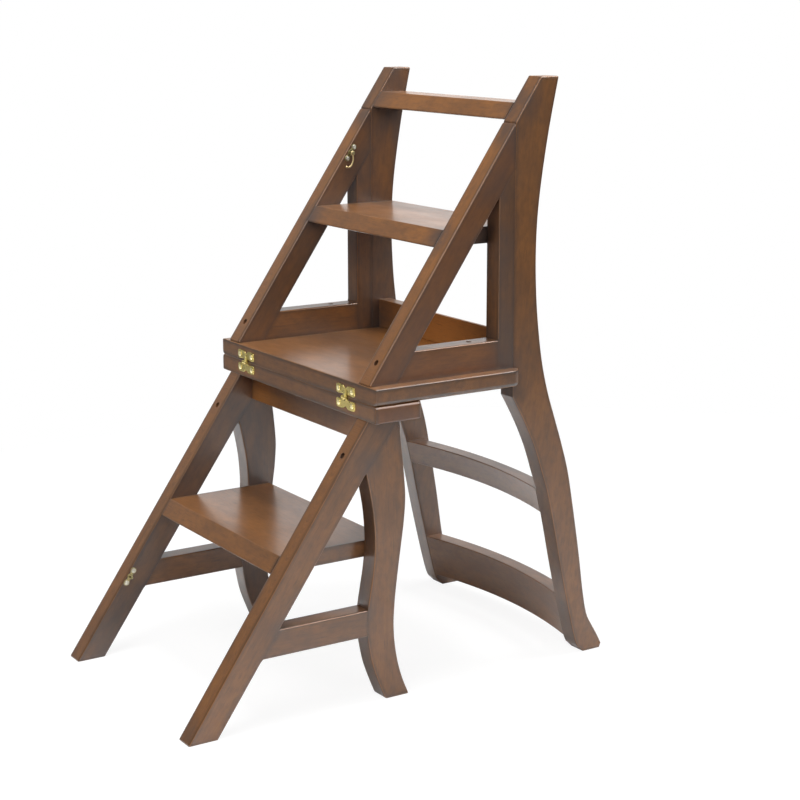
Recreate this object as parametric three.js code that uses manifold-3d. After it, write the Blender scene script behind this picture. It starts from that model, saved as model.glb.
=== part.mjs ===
// Folding library-steps chair, standing in its ladder pose.
// Millimetres, +Z up, +X to the right seen from the front, +Y to the rear.
// The pieces are drawn with y = 0 at the front edges of the two seat boards.
// The chair folds about the hinge pins at those edges.

import * as THREE from 'three';
import * as BufferGeometryUtils from 'three/addons/utils/BufferGeometryUtils.js';
import Module from 'manifold-3d';

// Driving dimensions of the whole
const seatHeight = 457;
const ladderHeight = 2 * seatHeight;
const seatWidth = 472;
const seatOverhang = 19.5;
const frameStep = 4;
const memberThickness = 32;
const boardThickness = 25.5;
const treadThickness = 25;
const stringerWidth = 38.8;
const stringerLean = THREE.MathUtils.degToRad(34.8);
const lowerStringerFlare = 4;
const frontSetback = 1.5;
const fit = 0.3;
const overrun = 5;
const curveSteps = 2;
const roundSteps = 14;

// Levels and planes that several pieces share
const lowerFrameTop = seatHeight - boardThickness;
const upperFrameBase = seatHeight + boardThickness;
const slope = Math.tan(stringerLean);
const stringerRun = stringerWidth / Math.cos(stringerLean);
const seatHalf = seatWidth / 2;
const upperOuter = seatHalf - seatOverhang;
const upperInner = upperOuter - memberThickness;
const lowerOuter = upperOuter - frameStep;
const lowerInner = lowerOuter - memberThickness;
const intoWood = new THREE.Vector3(0, Math.cos(stringerLean), -Math.sin(stringerLean));
const alongStringer = new THREE.Vector3(0, Math.sin(stringerLean), Math.cos(stringerLean));

// Seat boards
const lowerBoardDepth = 77;
const boardRounding = 5.5;
const boardShoulder = 5;

// Back posts: their edges as shares of the post's reach to the rear and of the ladder's height
const postTopSetback = 44.8;
const postFront = frontSetback + lowerFrameTop * slope - postTopSetback;
const postReach = 184;
const postHeelSetback = 3;
const postToeSetback = 36.5;
const postRearShares = [
  [0.422, 1], [0.334, 0.917], [0.265, 0.834], [0.23, 0.771], [0.22, 0.711], [0.228, 0.656],
  [0.25, 0.602], [0.296, 0.536], [0.361, 0.481], [0.442, 0.432], [0.524, 0.383], [0.595, 0.334],
  [0.649, 0.279], [0.698, 0.224], [0.739, 0.175], [0.784, 0.114], [0.831, 0.07], [0.893, 0.046],
  [0.953, 0.026], [1, 0.008],
];
const postFrontShares = [
  [0.765, 0.004], [0.727, 0.016], [0.695, 0.034], [0.638, 0.077], [0.54, 0.159], [0.459, 0.234],
  [0.388, 0.295], [0.32, 0.337], [0.245, 0.381], [0.17, 0.415], [0.09, 0.446], [0, 0.4777],
];

// Sabre legs: their edges as shares of the leg's reach and of the lower frame's height
const legReach = 72;
const legRearShares = [
  [0.764, 1], [0.806, 0.927], [0.854, 0.855], [0.9, 0.776], [0.921, 0.709], [0.886, 0.632],
  [0.842, 0.579], [0.768, 0.495], [0.683, 0.389], [0.646, 0.322], [0.631, 0.266], [0.654, 0.202],
  [0.728, 0.128], [0.842, 0.063], [1, 0],
];
const legFrontShares = [
  [0.417, 0], [0.321, 0.038], [0.144, 0.115], [0.054, 0.175], [-0.007, 0.243], [0.004, 0.338],
  [0.052, 0.392], [0.12, 0.455], [0.168, 0.52], [0.182, 0.585], [0.14, 0.677], [0.052, 0.76],
];
const legApexShare = 0.82;

// Rails, treads and steps
const lowerRailBase = 105;
const lowerRailHeight = 40.5;
const upperRailHeight = 44.8;
const lowerTreadShare = 0.5317;
const upperTreadShare = 0.7604;
const topStepShare = 0.9579;
const lowerTreadTop = lowerTreadShare * seatHeight;
const upperTreadTop = upperTreadShare * ladderHeight;
const topStepTop = topStepShare * ladderHeight;
const lowerTreadRear = 52;
const apronFront = 23;
const apronThickness = 22;
const apronHeight = 43.5;
const uprightWidth = 28.5;
const uprightFront = postFront - uprightWidth;
const rearRail = {
  setback: 14.5, thickness: 22, height: 47.5, topWidth: 5, bevelHeight: 20, endLength: 62,
};
const midRail = {
  topShare: 0.3014, heightShare: 0.0438, setback: 0.5, thickness: 30, frontBow: 23, rearBow: 19,
};
const crestRail = {
  topShare: 0.105, heightShare: 0.082, setback: 0.5, thickness: 30, frontBow: 23, rearBow: 20,
};

// Butterfly hinges
const hinge = {
  inset: 82, pinSetback: 3, leafThickness: 1.4, knuckleRadius: 2.7, pinRadius: 1.2,
  middleKnuckle: 6.6, sideKnuckle: 2.5, halfWidth: 26, nearEdge: 3.7, leafHeight: 14,
  cornerRadius: 5, notchHalfWidth: 3.6, notchDepth: 4, screwOffset: 18.8,
};

// Screws: head radius and height, shank radius and length
const hingeScrew = { head: 3.9, rise: 1.2, shank: 1.5, length: 14 };
const plateScrew = { head: 3.6, rise: 1.2, shank: 1.3, length: 12 };
const frontScrew = { head: 3.6, rise: 2, shank: 2, length: 46 };
const railScrew = { head: 3.6, rise: 2, shank: 2, length: 55 };
const countersink = { radius: 4.5, depth: 5 };
const lowerScrewDrop = 49.1;
const upperScrewRise = 31;
const railScrewSetback = 42.6;

// Hook, its plate on the left upper stringer and its catch on the left lower stringer
const plate = { thickness: 1.5, lobeRadius: 5, lobeSpacing: 22, waist: 6, bossRadius: 4.6 };
const hook = {
  pivotInset: 18, pivotDrop: 135.8, pinRadius: 1.6, collarRadius: 3.2, rodRadius: 1.5,
  eyeRadius: 3.6, eyeThickness: 3, reach: 21, ballRadius: 2.1, endCap: 1,
};
const hookRouteShares = [
  [-0.02, -0.13], [0.03, -0.3], [0.03, -0.5], [-0.02, -0.7], [-0.14, -0.93], [-0.29, -1.06],
  [-0.45, -1.09], [-0.58, -1.06],
];
const catchPlace = { reachAngle: THREE.MathUtils.degToRad(-29), studRadius: 2, studLength: 8.5 };

const wood = new THREE.MeshStandardMaterial({ color: 0x73503c, roughness: 0.42, metalness: 0 });
const boardWood = new THREE.MeshStandardMaterial({ color: 0x7a5a48, roughness: 0.35, metalness: 0 });
const brass = new THREE.MeshStandardMaterial({ color: 0xc2b25c, roughness: 0.28, metalness: 1 });
const paleBrass = new THREE.MeshStandardMaterial({ color: 0xb5ad8c, roughness: 0.35, metalness: 1 });
const steel = new THREE.MeshStandardMaterial({ color: 0x3a332c, roughness: 0.5, metalness: 0.8 });

const wasm = await Module();
wasm.setup();
const frame = new THREE.Group();

// Side profiles run along x, front profiles run forward from their rear face
const acrossX = new THREE.Matrix4().makeBasis(
  new THREE.Vector3(0, 1, 0),
  new THREE.Vector3(0, 0, 1),
  new THREE.Vector3(1, 0, 0),
);
const alongY = new THREE.Matrix4().makeBasis(
  new THREE.Vector3(1, 0, 0),
  new THREE.Vector3(0, 0, 1),
  new THREE.Vector3(0, -1, 0),
);

function addPiece(name, geometry, material) {
  const mesh = new THREE.Mesh(geometry, material);
  mesh.name = name;
  frame.add(mesh);
}

function extrude(shape, depth) {
  return new THREE.ExtrudeGeometry(shape, { depth, bevelEnabled: false, curveSegments: curveSteps });
}

function sideProfile(shape, left, right) {
  return extrude(shape, right - left).translate(0, 0, left).applyMatrix4(acrossX);
}

function frontProfile(shape, front, rear) {
  return extrude(shape, rear - front).applyMatrix4(alongY).translate(0, rear, 0);
}

function polygon(points) {
  return new THREE.Shape(points.map(([a, b]) => new THREE.Vector2(a, b)));
}

function box(left, right, front, rear, base, top) {
  const geometry = new THREE.BoxGeometry(right - left, rear - front, top - base);
  return geometry.translate((left + right) / 2, (front + rear) / 2, (base + top) / 2);
}

// A shape drawn along local +Y, moved to a place and turned to a direction
function placed(geometry, place, direction) {
  const turn = new THREE.Quaternion().setFromUnitVectors(new THREE.Vector3(0, 1, 0), direction);
  return geometry.applyQuaternion(turn).translate(place.x, place.y, place.z);
}

function cylinder(radius, start, direction, length) {
  const geometry = new THREE.CylinderGeometry(radius, radius, length, roundSteps);
  return placed(geometry.translate(0, length / 2, 0), start, direction);
}

function toSolid(geometry) {
  const bare = geometry.clone();
  bare.deleteAttribute('normal');
  bare.deleteAttribute('uv');
  const merged = BufferGeometryUtils.mergeVertices(bare);
  const vertProperties = Float32Array.from(merged.attributes.position.array);
  const triVerts = Uint32Array.from(merged.index.array);
  return new wasm.Manifold(new wasm.Mesh({ numProp: 3, vertProperties, triVerts }));
}

function toGeometry(solid) {
  const { vertProperties, triVerts } = solid.getMesh();
  const geometry = new THREE.BufferGeometry();
  geometry.setAttribute('position', new THREE.BufferAttribute(vertProperties, 3));
  geometry.setIndex(new THREE.BufferAttribute(triVerts, 1));
  return geometry;
}

function joined(geometries) {
  return toGeometry(geometries.map(toSolid).reduce((whole, next) => whole.add(next)));
}

function cut(geometry, cutters) {
  return toGeometry(cutters.map(toSolid).reduce((whole, next) => whole.subtract(next), toSolid(geometry)));
}

function shared(first, second) {
  return toGeometry(toSolid(first).intersect(toSolid(second)));
}

// The two slanted faces of each stringer, as places along y at a height.
// The lower stringers widen a little towards the seat.
const lowerFrontAt = (z) => frontSetback - (lowerFrameTop - z) * slope;
const lowerBackAt = (z) => lowerFrontAt(z) + stringerRun + (lowerStringerFlare * z) / lowerFrameTop;
const upperFrontAt = (z) => frontSetback + (z - upperFrameBase) * slope;
const upperBackAt = (z) => upperFrontAt(z) + stringerRun;
const upperHeightAt = (y) => upperFrameBase + (y - frontSetback) / slope;

const scaled = (shares, width, height, shift) =>
  shares.map(([across, up]) => new THREE.Vector2(shift + across * width, up * height));
const postRearLine = scaled(postRearShares, postReach, ladderHeight, postFront);
const postFrontLine = scaled(postFrontShares, postReach, ladderHeight, postFront);
const legRearLine = scaled(legRearShares, legReach, lowerFrameTop, 0);
const legFrontLine = scaled(legFrontShares, legReach, lowerFrameTop, 0);

// Place along y of a drawn edge at a height, between its nearest points
function edgeAt(line, z) {
  const points = new THREE.SplineCurve(line).getPoints(curveSteps * line.length);
  const next = points.findIndex((point, i) => i > 0 && (point.y - z) * (points[i - 1].y - z) <= 0);
  const [from, to] = [points[next - 1], points[next]];
  return from.x + (to.x - from.x) * ((z - from.y) / (to.y - from.y));
}

const postRearAt = (z) => edgeAt(postRearLine, z);
const postFrontAt = (z) => edgeAt(postFrontLine, z);
const legFrontAt = (z) => edgeAt(legFrontLine, z);

// Across one side of the chair: the left piece spans -outer to -inner
const sides = [
  { name: 'left', lower: [-lowerOuter, -lowerInner], upper: [-upperOuter, -upperInner], sign: -1 },
  { name: 'right', lower: [lowerInner, lowerOuter], upper: [upperInner, upperOuter], sign: 1 },
];

// Screw: a round head standing on its seat and a shank that runs back into the wood
function screwSolid(size, place, outward) {
  const profile = [
    new THREE.Vector2(0, -size.length),
    new THREE.Vector2(size.shank, -size.length),
    new THREE.Vector2(size.shank, 0),
    new THREE.Vector2(size.head, 0),
    new THREE.Vector2(size.head * Math.cos(Math.PI / 4), size.rise * Math.sin(Math.PI / 4)),
    new THREE.Vector2(0, size.rise),
  ];
  return placed(new THREE.LatheGeometry(profile, roundSteps), place, outward);
}

function screwHole(size, place, outward) {
  const inward = outward.clone().negate();
  const start = place.clone().addScaledVector(outward, overrun);
  return cylinder(size.shank + fit, start, inward, size.length + overrun + fit);
}

function countersinkHole(mouth, outward) {
  const start = mouth.clone().addScaledVector(outward, overrun);
  return cylinder(countersink.radius, start, outward.clone().negate(), countersink.depth + overrun);
}

// Places of the sunk screws: mouth on the wood's face, seat at the bottom of the sinking
function sunkScrew(mouth, outward) {
  return { mouth, outward, seat: mouth.clone().addScaledVector(outward, -countersink.depth) };
}

const frontOutward = intoWood.clone().negate();
const upward = new THREE.Vector3(0, 0, 1);

function lowerFrontScrew(sign) {
  const x = sign * (lowerOuter - memberThickness / 2);
  const z = lowerFrameTop - lowerScrewDrop;
  return sunkScrew(new THREE.Vector3(x, lowerFrontAt(z), z), frontOutward);
}

function upperFrontScrew(sign) {
  const x = sign * (upperOuter - memberThickness / 2);
  const z = upperFrameBase + upperScrewRise;
  return sunkScrew(new THREE.Vector3(x, upperFrontAt(z), z), frontOutward);
}

function sideRailScrew(sign) {
  const x = sign * (upperOuter - memberThickness / 2);
  const y = uprightFront - railScrewSetback;
  return sunkScrew(new THREE.Vector3(x, y, upperFrameBase + upperRailHeight), upward);
}

function holesFor(screw, size) {
  return [countersinkHole(screw.mouth, screw.outward), screwHole(size, screw.seat, screw.outward)];
}

// Hinge screws: on both boards, either side of each hinge's middle
const hingeCentres = [hinge.inset - seatHalf, seatHalf - hinge.inset];
const forward = new THREE.Vector3(0, -1, 0);
const screwDrop = hinge.nearEdge + hinge.leafHeight / 2;

function hingeScrewPlaces(up) {
  return hingeCentres.flatMap((centre) => [-1, 1].map((side) => (
    new THREE.Vector3(centre + side * hinge.screwOffset, -hinge.leafThickness, seatHeight + up * screwDrop)
  )));
}

const hingeHoles = (up) => hingeScrewPlaces(up).map((place) => screwHole(hingeScrew, place, forward));

// Seat boards, their ends rounded where they lie on each other
function roundedEndProfile(meeting, far) {
  const turn = Math.sign(far - meeting) * boardRounding;
  const shape = new THREE.Shape();
  shape.moveTo(-seatHalf, far);
  shape.lineTo(-seatHalf, meeting + turn);
  shape.quadraticCurveTo(-seatHalf, meeting, -seatHalf + boardRounding, meeting);
  shape.lineTo(seatHalf - boardRounding, meeting);
  shape.quadraticCurveTo(seatHalf, meeting, seatHalf, meeting + turn);
  shape.lineTo(seatHalf, far);
  return shape;
}

function lowerSeatBoard() {
  const board = frontProfile(roundedEndProfile(seatHeight, lowerFrameTop), 0, lowerBoardDepth);
  return cut(board, hingeHoles(-1));
}

// The upper board's plan: round rear corners, a notch round each post, a tongue between the posts
function upperSeatBoard() {
  const notchOuter = upperOuter + fit;
  const notchInner = upperInner - fit;
  const corner = seatHalf - notchOuter;
  const shoulder = postFront + boardShoulder;
  const tongueRear = postFront + rearRail.setback + rearRail.thickness;
  const plan = new THREE.Shape();
  plan.moveTo(-seatHalf, 0);
  plan.lineTo(seatHalf, 0);
  plan.lineTo(seatHalf, shoulder - corner);
  plan.absarc(notchOuter, shoulder - corner, corner, 0, Math.PI / 2, false);
  plan.lineTo(notchOuter, postFront);
  plan.lineTo(notchInner, postFront);
  plan.lineTo(notchInner, tongueRear);
  plan.lineTo(-notchInner, tongueRear);
  plan.lineTo(-notchInner, postFront);
  plan.lineTo(-notchOuter, postFront);
  plan.lineTo(-notchOuter, shoulder);
  plan.absarc(-notchOuter, shoulder - corner, corner, Math.PI / 2, Math.PI, false);
  const flat = new THREE.ExtrudeGeometry(plan, {
    depth: boardThickness + 2 * overrun, bevelEnabled: false, curveSegments: roundSteps,
  });
  flat.translate(0, 0, seatHeight - overrun);
  const profile = frontProfile(roundedEndProfile(seatHeight, upperFrameBase), 0, tongueRear + overrun);
  const railHoles = sides.map(({ sign }) => {
    const screw = sideRailScrew(sign);
    return screwHole(railScrew, screw.seat, screw.outward);
  });
  return cut(shared(flat, profile), [...hingeHoles(1), ...railHoles]);
}

// Lower frame
function lowerStringer([left, right], sign) {
  const outline = polygon([
    [lowerFrontAt(0), 0],
    [lowerBackAt(0), 0],
    [lowerBackAt(lowerFrameTop), lowerFrameTop],
    [lowerFrontAt(lowerFrameTop), lowerFrameTop],
  ]);
  const cutters = holesFor(lowerFrontScrew(sign), frontScrew);
  return { outline: sideProfile(outline, left, right), cutters };
}

function sabreLeg([left, right], sign) {
  const apexHeight = legApexShare * lowerFrameTop;
  const shape = new THREE.Shape();
  shape.moveTo(legFrontLine[0].x, legFrontLine[0].y);
  shape.splineThru(legFrontLine.slice(1));
  shape.lineTo(lowerBackAt(apexHeight) + fit, apexHeight);
  shape.lineTo(lowerBackAt(lowerFrameTop) + fit, lowerFrameTop);
  shape.lineTo(legRearLine[0].x, legRearLine[0].y);
  shape.splineThru(legRearLine.slice(1));
  const screw = lowerFrontScrew(sign);
  return cut(sideProfile(shape, left, right), [screwHole(frontScrew, screw.seat, screw.outward)]);
}

function lowerSideRail([left, right]) {
  const top = lowerRailBase + lowerRailHeight;
  const steps = curveSteps + 2;
  const rear = Array.from({ length: steps + 1 }, (_, i) => {
    const z = lowerRailBase + (lowerRailHeight * i) / steps;
    return [legFrontAt(z) - fit, z];
  });
  const outline = polygon([
    [lowerBackAt(lowerRailBase) + fit, lowerRailBase],
    ...rear,
    [lowerBackAt(top) + fit, top],
  ]);
  return sideProfile(outline, left, right);
}

// Treads and the top step: front edges flush with the stringers' slanted fronts
function stepSolid(top, rear, frontAt, inner) {
  const base = top - treadThickness;
  const outline = polygon([[frontAt(base), base], [rear, base], [rear, top], [frontAt(top), top]]);
  return sideProfile(outline, -inner, inner);
}

// Upper frame
function upperStringer([left, right], sign) {
  const outline = polygon([
    [upperFrontAt(upperFrameBase), upperFrameBase],
    [upperBackAt(upperFrameBase), upperFrameBase],
    [postFront, upperHeightAt(postFront - stringerRun)],
    [postFront, upperHeightAt(postFront)],
  ]);
  const cutters = holesFor(upperFrontScrew(sign), frontScrew);
  return { outline: sideProfile(outline, left, right), cutters };
}

function uprightSolid([left, right]) {
  const outline = polygon([
    [uprightFront, upperFrameBase],
    [postFront, upperFrameBase],
    [postFront, upperHeightAt(postFront - stringerRun - fit)],
    [uprightFront, upperHeightAt(uprightFront - stringerRun - fit)],
  ]);
  return sideProfile(outline, left, right);
}

function upperSideRail([left, right], sign) {
  const top = upperFrameBase + upperRailHeight;
  const outline = polygon([
    [upperBackAt(upperFrameBase) + fit, upperFrameBase],
    [uprightFront, upperFrameBase],
    [uprightFront, top],
    [upperBackAt(top) + fit, top],
  ]);
  const front = upperFrontScrew(sign);
  const frontHole = screwHole(frontScrew, front.seat, front.outward);
  return cut(sideProfile(outline, left, right), [frontHole, ...holesFor(sideRailScrew(sign), railScrew)]);
}

function backPost([left, right]) {
  const shape = new THREE.Shape();
  shape.moveTo(postFront, upperHeightAt(postFront));
  shape.lineTo(upperFrontAt(ladderHeight), ladderHeight);
  shape.lineTo(postRearLine[0].x, postRearLine[0].y);
  shape.splineThru(postRearLine.slice(1));
  shape.lineTo(postFront + postReach - postHeelSetback, 0);
  shape.lineTo(postFront + postReach - postToeSetback, 0);
  shape.lineTo(postFrontLine[0].x, postFrontLine[0].y);
  shape.splineThru(postFrontLine.slice(1));
  return sideProfile(shape, left, right);
}

// Rear seat rail: its upper back edge is bevelled between two full-thickness ends
function rearSeatRail() {
  const front = postFront + rearRail.setback;
  const rear = front + rearRail.thickness;
  const top = upperFrameBase + rearRail.height;
  const whole = box(-upperInner, upperInner, front, rear, upperFrameBase, top);
  const wedge = polygon([
    [front + rearRail.topWidth, top],
    [rear, top - rearRail.bevelHeight],
    [rear + overrun, top - rearRail.bevelHeight],
    [rear + overrun, top + overrun],
    [front + rearRail.topWidth, top + overrun],
  ]);
  const reach = upperInner - rearRail.endLength;
  return cut(whole, [sideProfile(wedge, -reach, reach)]);
}

// Bowed rail between the posts, leaning with them
function bowedRail(rail) {
  const top = rail.topShare * ladderHeight;
  const height = rail.heightShare * ladderHeight;
  const base = top - height;
  const frontTop = postFrontAt(top) + rail.setback;
  const frontBase = postFrontAt(base) + rail.setback;
  const plan = new THREE.Shape();
  plan.moveTo(-upperInner, 0);
  plan.quadraticCurveTo(0, 2 * rail.frontBow, upperInner, 0);
  plan.lineTo(upperInner, rail.thickness);
  plan.quadraticCurveTo(0, rail.thickness + 2 * rail.rearBow, -upperInner, rail.thickness);
  const geometry = new THREE.ExtrudeGeometry(plan, {
    depth: height, bevelEnabled: false, curveSegments: roundSteps,
  });
  const lean = new THREE.Matrix4().makeShear(0, 0, 0, 0, 0, (frontTop - frontBase) / height);
  return geometry.applyMatrix4(lean).translate(0, frontBase, base);
}

// Hinge leaf: two rounded lobes with a notch between them, and the knuckles that it carries
function hingeLeaf(centre, up, knuckles) {
  const near = hinge.nearEdge;
  const far = near + hinge.leafHeight;
  const round = hinge.cornerRadius;
  const half = hinge.halfWidth;
  const lobes = new THREE.Shape();
  lobes.moveTo(-half + round, up * near);
  lobes.lineTo(half - round, up * near);
  lobes.quadraticCurveTo(half, up * near, half, up * (near + round));
  lobes.lineTo(half, up * (far - round));
  lobes.quadraticCurveTo(half, up * far, half - round, up * far);
  lobes.lineTo(hinge.notchHalfWidth, up * far);
  lobes.lineTo(0, up * (far - hinge.notchDepth));
  lobes.lineTo(-hinge.notchHalfWidth, up * far);
  lobes.lineTo(-half + round, up * far);
  lobes.quadraticCurveTo(-half, up * far, -half, up * (far - round));
  lobes.lineTo(-half, up * (near + round));
  lobes.quadraticCurveTo(-half, up * near, -half + round, up * near);
  const flat = new THREE.ExtrudeGeometry(lobes, {
    depth: hinge.leafThickness, bevelEnabled: false, curveSegments: roundSteps / 2,
  });
  const leaf = flat.applyMatrix4(alongY).translate(centre, 0, seatHeight);
  const across = new THREE.Vector3(1, 0, 0);
  const pieces = knuckles.flatMap(([from, to]) => {
    const base = Math.min(0, up * (near + hinge.leafThickness));
    const top = Math.max(0, up * (near + hinge.leafThickness));
    const start = new THREE.Vector3(centre + from, -hinge.pinSetback, seatHeight);
    return [
      box(centre + from, centre + to, -hinge.leafThickness, 0, seatHeight + base, seatHeight + top),
      cylinder(hinge.knuckleRadius, start, across, to - from),
    ];
  });
  const bore = cylinder(
    hinge.pinRadius + fit,
    new THREE.Vector3(centre - half, -hinge.pinSetback, seatHeight),
    across,
    2 * half,
  );
  const holes = hingeScrewPlaces(up).map((place) => screwHole(hingeScrew, place, forward));
  return cut(joined([leaf, ...pieces]), [bore, ...holes]);
}

const middleHalf = hinge.middleKnuckle / 2;
const sideStart = middleHalf + fit;
const sideEnd = sideStart + hinge.sideKnuckle;
const upperKnuckles = [[-middleHalf, middleHalf]];
const lowerKnuckles = [[-sideEnd, -sideStart], [sideStart, sideEnd]];

function hingePin(centre) {
  const reach = sideEnd + fit;
  const start = new THREE.Vector3(centre - reach, -hinge.pinSetback, seatHeight);
  return cylinder(hinge.pinRadius, start, new THREE.Vector3(1, 0, 0), 2 * reach);
}

// Hook and catch plates lie on the inner faces of the left stringers
const toRight = new THREE.Vector3(1, 0, 0);
const plateFace = -upperInner + plate.thickness;
const catchFace = -lowerInner + plate.thickness;
const hookPlane = catchFace + fit + hook.ballRadius;
const pivotHeight = ladderHeight - hook.pivotDrop;
const pivot = new THREE.Vector3(-upperInner, upperFrontAt(pivotHeight) + hook.pivotInset / 2, pivotHeight);

// Where the folded chair's hook seats: the pivot turned half round the hinge pins, and one reach away
const stud = new THREE.Vector3(
  -lowerInner,
  -2 * hinge.pinSetback - pivot.y + hook.reach * Math.cos(catchPlace.reachAngle),
  2 * seatHeight - pivot.z + hook.reach * Math.sin(catchPlace.reachAngle),
);

const lobePlaces = (centre) => [-1, 1].map((side) => (
  centre.clone().addScaledVector(alongStringer, (side * plate.lobeSpacing) / 2)
));

function plateSolid(centre) {
  const disc = (place) => cylinder(plate.lobeRadius, place, toRight, plate.thickness);
  const discs = lobePlaces(centre).map(disc);
  const boss = cylinder(plate.bossRadius, centre, toRight, plate.thickness);
  const waist = new THREE.BoxGeometry(plate.thickness, plate.waist, plate.lobeSpacing);
  waist.rotateX(-stringerLean);
  waist.translate(centre.x + plate.thickness / 2, centre.y, centre.z);
  return [...discs, boss, waist];
}

function plateScrewPlaces(centre) {
  return lobePlaces(centre).map((place) => place.clone().addScaledVector(toRight, plate.thickness));
}

const plateHoles = (centre) => (
  plateScrewPlaces(centre).map((place) => screwHole(plateScrew, place, toRight))
);

function hookPlateSolid() {
  const collarLength = hookPlane - hook.eyeThickness / 2 - fit - plateFace;
  const start = new THREE.Vector3(plateFace, pivot.y, pivot.z);
  const collar = cylinder(hook.collarRadius, start, toRight, collarLength);
  const pin = cylinder(hook.pinRadius, start, toRight, collarLength + hook.eyeThickness + 2 * fit);
  const capStart = start.clone().addScaledVector(toRight, collarLength + hook.eyeThickness + 2 * fit);
  const cap = cylinder(hook.collarRadius, capStart, toRight, hook.endCap);
  return cut(joined([...plateSolid(pivot), collar, pin, cap]), plateHoles(pivot));
}

function catchPlateSolid() {
  const start = new THREE.Vector3(catchFace, stud.y, stud.z);
  const peg = cylinder(catchPlace.studRadius, start, toRight, catchPlace.studLength);
  return cut(joined([...plateSolid(stud), peg]), plateHoles(stud));
}

function hookSolid() {
  const at = ([across, up]) => (
    new THREE.Vector3(hookPlane, pivot.y + across * hook.reach, pivot.z + up * hook.reach)
  );
  const route = new THREE.CatmullRomCurve3(hookRouteShares.map(at));
  const section = new THREE.Shape();
  section.absarc(0, 0, hook.rodRadius, 0, 2 * Math.PI, false);
  const rod = new THREE.ExtrudeGeometry(section, {
    extrudePath: route, steps: 2 * hookRouteShares.length, curveSegments: roundSteps / 2,
  });
  const ball = new THREE.SphereGeometry(hook.ballRadius, roundSteps, roundSteps / 2);
  const tip = at(hookRouteShares[hookRouteShares.length - 1]);
  ball.translate(tip.x, tip.y, tip.z);
  const eyeStart = new THREE.Vector3(hookPlane - hook.eyeThickness / 2, pivot.y, pivot.z);
  const eye = cylinder(hook.eyeRadius, eyeStart, toRight, hook.eyeThickness);
  const bore = cylinder(
    hook.pinRadius + fit,
    eyeStart.clone().addScaledVector(toRight, -overrun),
    toRight,
    hook.eyeThickness + 2 * overrun,
  );
  return cut(joined([eye, rod, ball]), [bore]);
}

// Lower unit
addPiece('lower_seat_board', lowerSeatBoard(), boardWood);
for (const { name, lower, sign } of sides) {
  const stringer = lowerStringer(lower, sign);
  const holes = sign < 0 ? plateHoles(stud) : [];
  addPiece(`lower_stringer_${name}`, cut(stringer.outline, [...stringer.cutters, ...holes]), wood);
  addPiece(`sabre_leg_${name}`, sabreLeg(lower, sign), wood);
  addPiece(`lower_side_rail_${name}`, lowerSideRail(lower), wood);
}
addPiece('lower_tread', stepSolid(lowerTreadTop, lowerTreadRear, lowerFrontAt, lowerInner), boardWood);
const apronRear = apronFront + apronThickness;
const apronBase = lowerFrameTop - apronHeight;
addPiece('lower_apron', box(-lowerInner, lowerInner, apronFront, apronRear, apronBase, lowerFrameTop), wood);

// Upper unit
addPiece('upper_seat_board', upperSeatBoard(), boardWood);
for (const { name, upper, sign } of sides) {
  const stringer = upperStringer(upper, sign);
  const holes = sign < 0 ? plateHoles(pivot) : [];
  addPiece(`upper_stringer_${name}`, cut(stringer.outline, [...stringer.cutters, ...holes]), wood);
  addPiece(`upper_side_rail_${name}`, upperSideRail(upper, sign), wood);
  addPiece(`upright_${name}`, uprightSolid(upper), wood);
  addPiece(`back_post_${name}`, backPost(upper), wood);
}
const upperTreadRear = postRearAt(upperTreadTop);
const topStepRear = postRearAt(topStepTop - treadThickness);
addPiece('upper_tread', stepSolid(upperTreadTop, upperTreadRear, upperFrontAt, upperInner), boardWood);
addPiece('top_step', stepSolid(topStepTop, topStepRear, upperFrontAt, upperInner), boardWood);
addPiece('rear_seat_rail', rearSeatRail(), wood);
addPiece('mid_back_rail', bowedRail(midRail), wood);
addPiece('crest_rail', bowedRail(crestRail), wood);

// Hinges and their screws
sides.forEach(({ name }, i) => {
  addPiece(`hinge_leaf_upper_${name}`, hingeLeaf(hingeCentres[i], 1, upperKnuckles), brass);
  addPiece(`hinge_leaf_lower_${name}`, hingeLeaf(hingeCentres[i], -1, lowerKnuckles), brass);
  addPiece(`hinge_pin_${name}`, hingePin(hingeCentres[i]), brass);
});
for (const [unit, up] of [['upper', 1], ['lower', -1]]) {
  hingeScrewPlaces(up).forEach((place, i) => {
    addPiece(`hinge_screw_${unit}_${i + 1}`, screwSolid(hingeScrew, place, forward), brass);
  });
}

// Hook and catch
addPiece('hook_plate', hookPlateSolid(), paleBrass);
addPiece('hook', hookSolid(), brass);
addPiece('catch_plate', catchPlateSolid(), paleBrass);
for (const [label, centre] of [['hook_plate', pivot], ['catch_plate', stud]]) {
  plateScrewPlaces(centre).forEach((place, i) => {
    addPiece(`${label}_screw_${i + 1}`, screwSolid(plateScrew, place, toRight), paleBrass);
  });
}

// Sunk wood screws
for (const { name, sign } of sides) {
  const low = lowerFrontScrew(sign);
  const high = upperFrontScrew(sign);
  const rail = sideRailScrew(sign);
  addPiece(`lower_stringer_screw_${name}`, screwSolid(frontScrew, low.seat, low.outward), steel);
  addPiece(`upper_stringer_screw_${name}`, screwSolid(frontScrew, high.seat, high.outward), steel);
  addPiece(`side_rail_screw_${name}`, screwSolid(railScrew, rail.seat, rail.outward), steel);
}

// The part's origin lies on the floor under the middle of its footprint
const footprintFront = lowerFrontAt(0);
const footprintRear = postFront + postReach;
frame.position.y = -(footprintFront + footprintRear) / 2;
const group = new THREE.Group();
group.add(frame);

export default group;
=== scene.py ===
"""Folding library-steps chair: stained wood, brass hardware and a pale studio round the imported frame.

Shapes are worked out in millimetres with y = 0 at the front edges of the seat boards, as closed
rings of points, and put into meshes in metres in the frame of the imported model.
"""

import bpy
import numpy as np
from mathutils import Matrix, Vector


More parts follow.
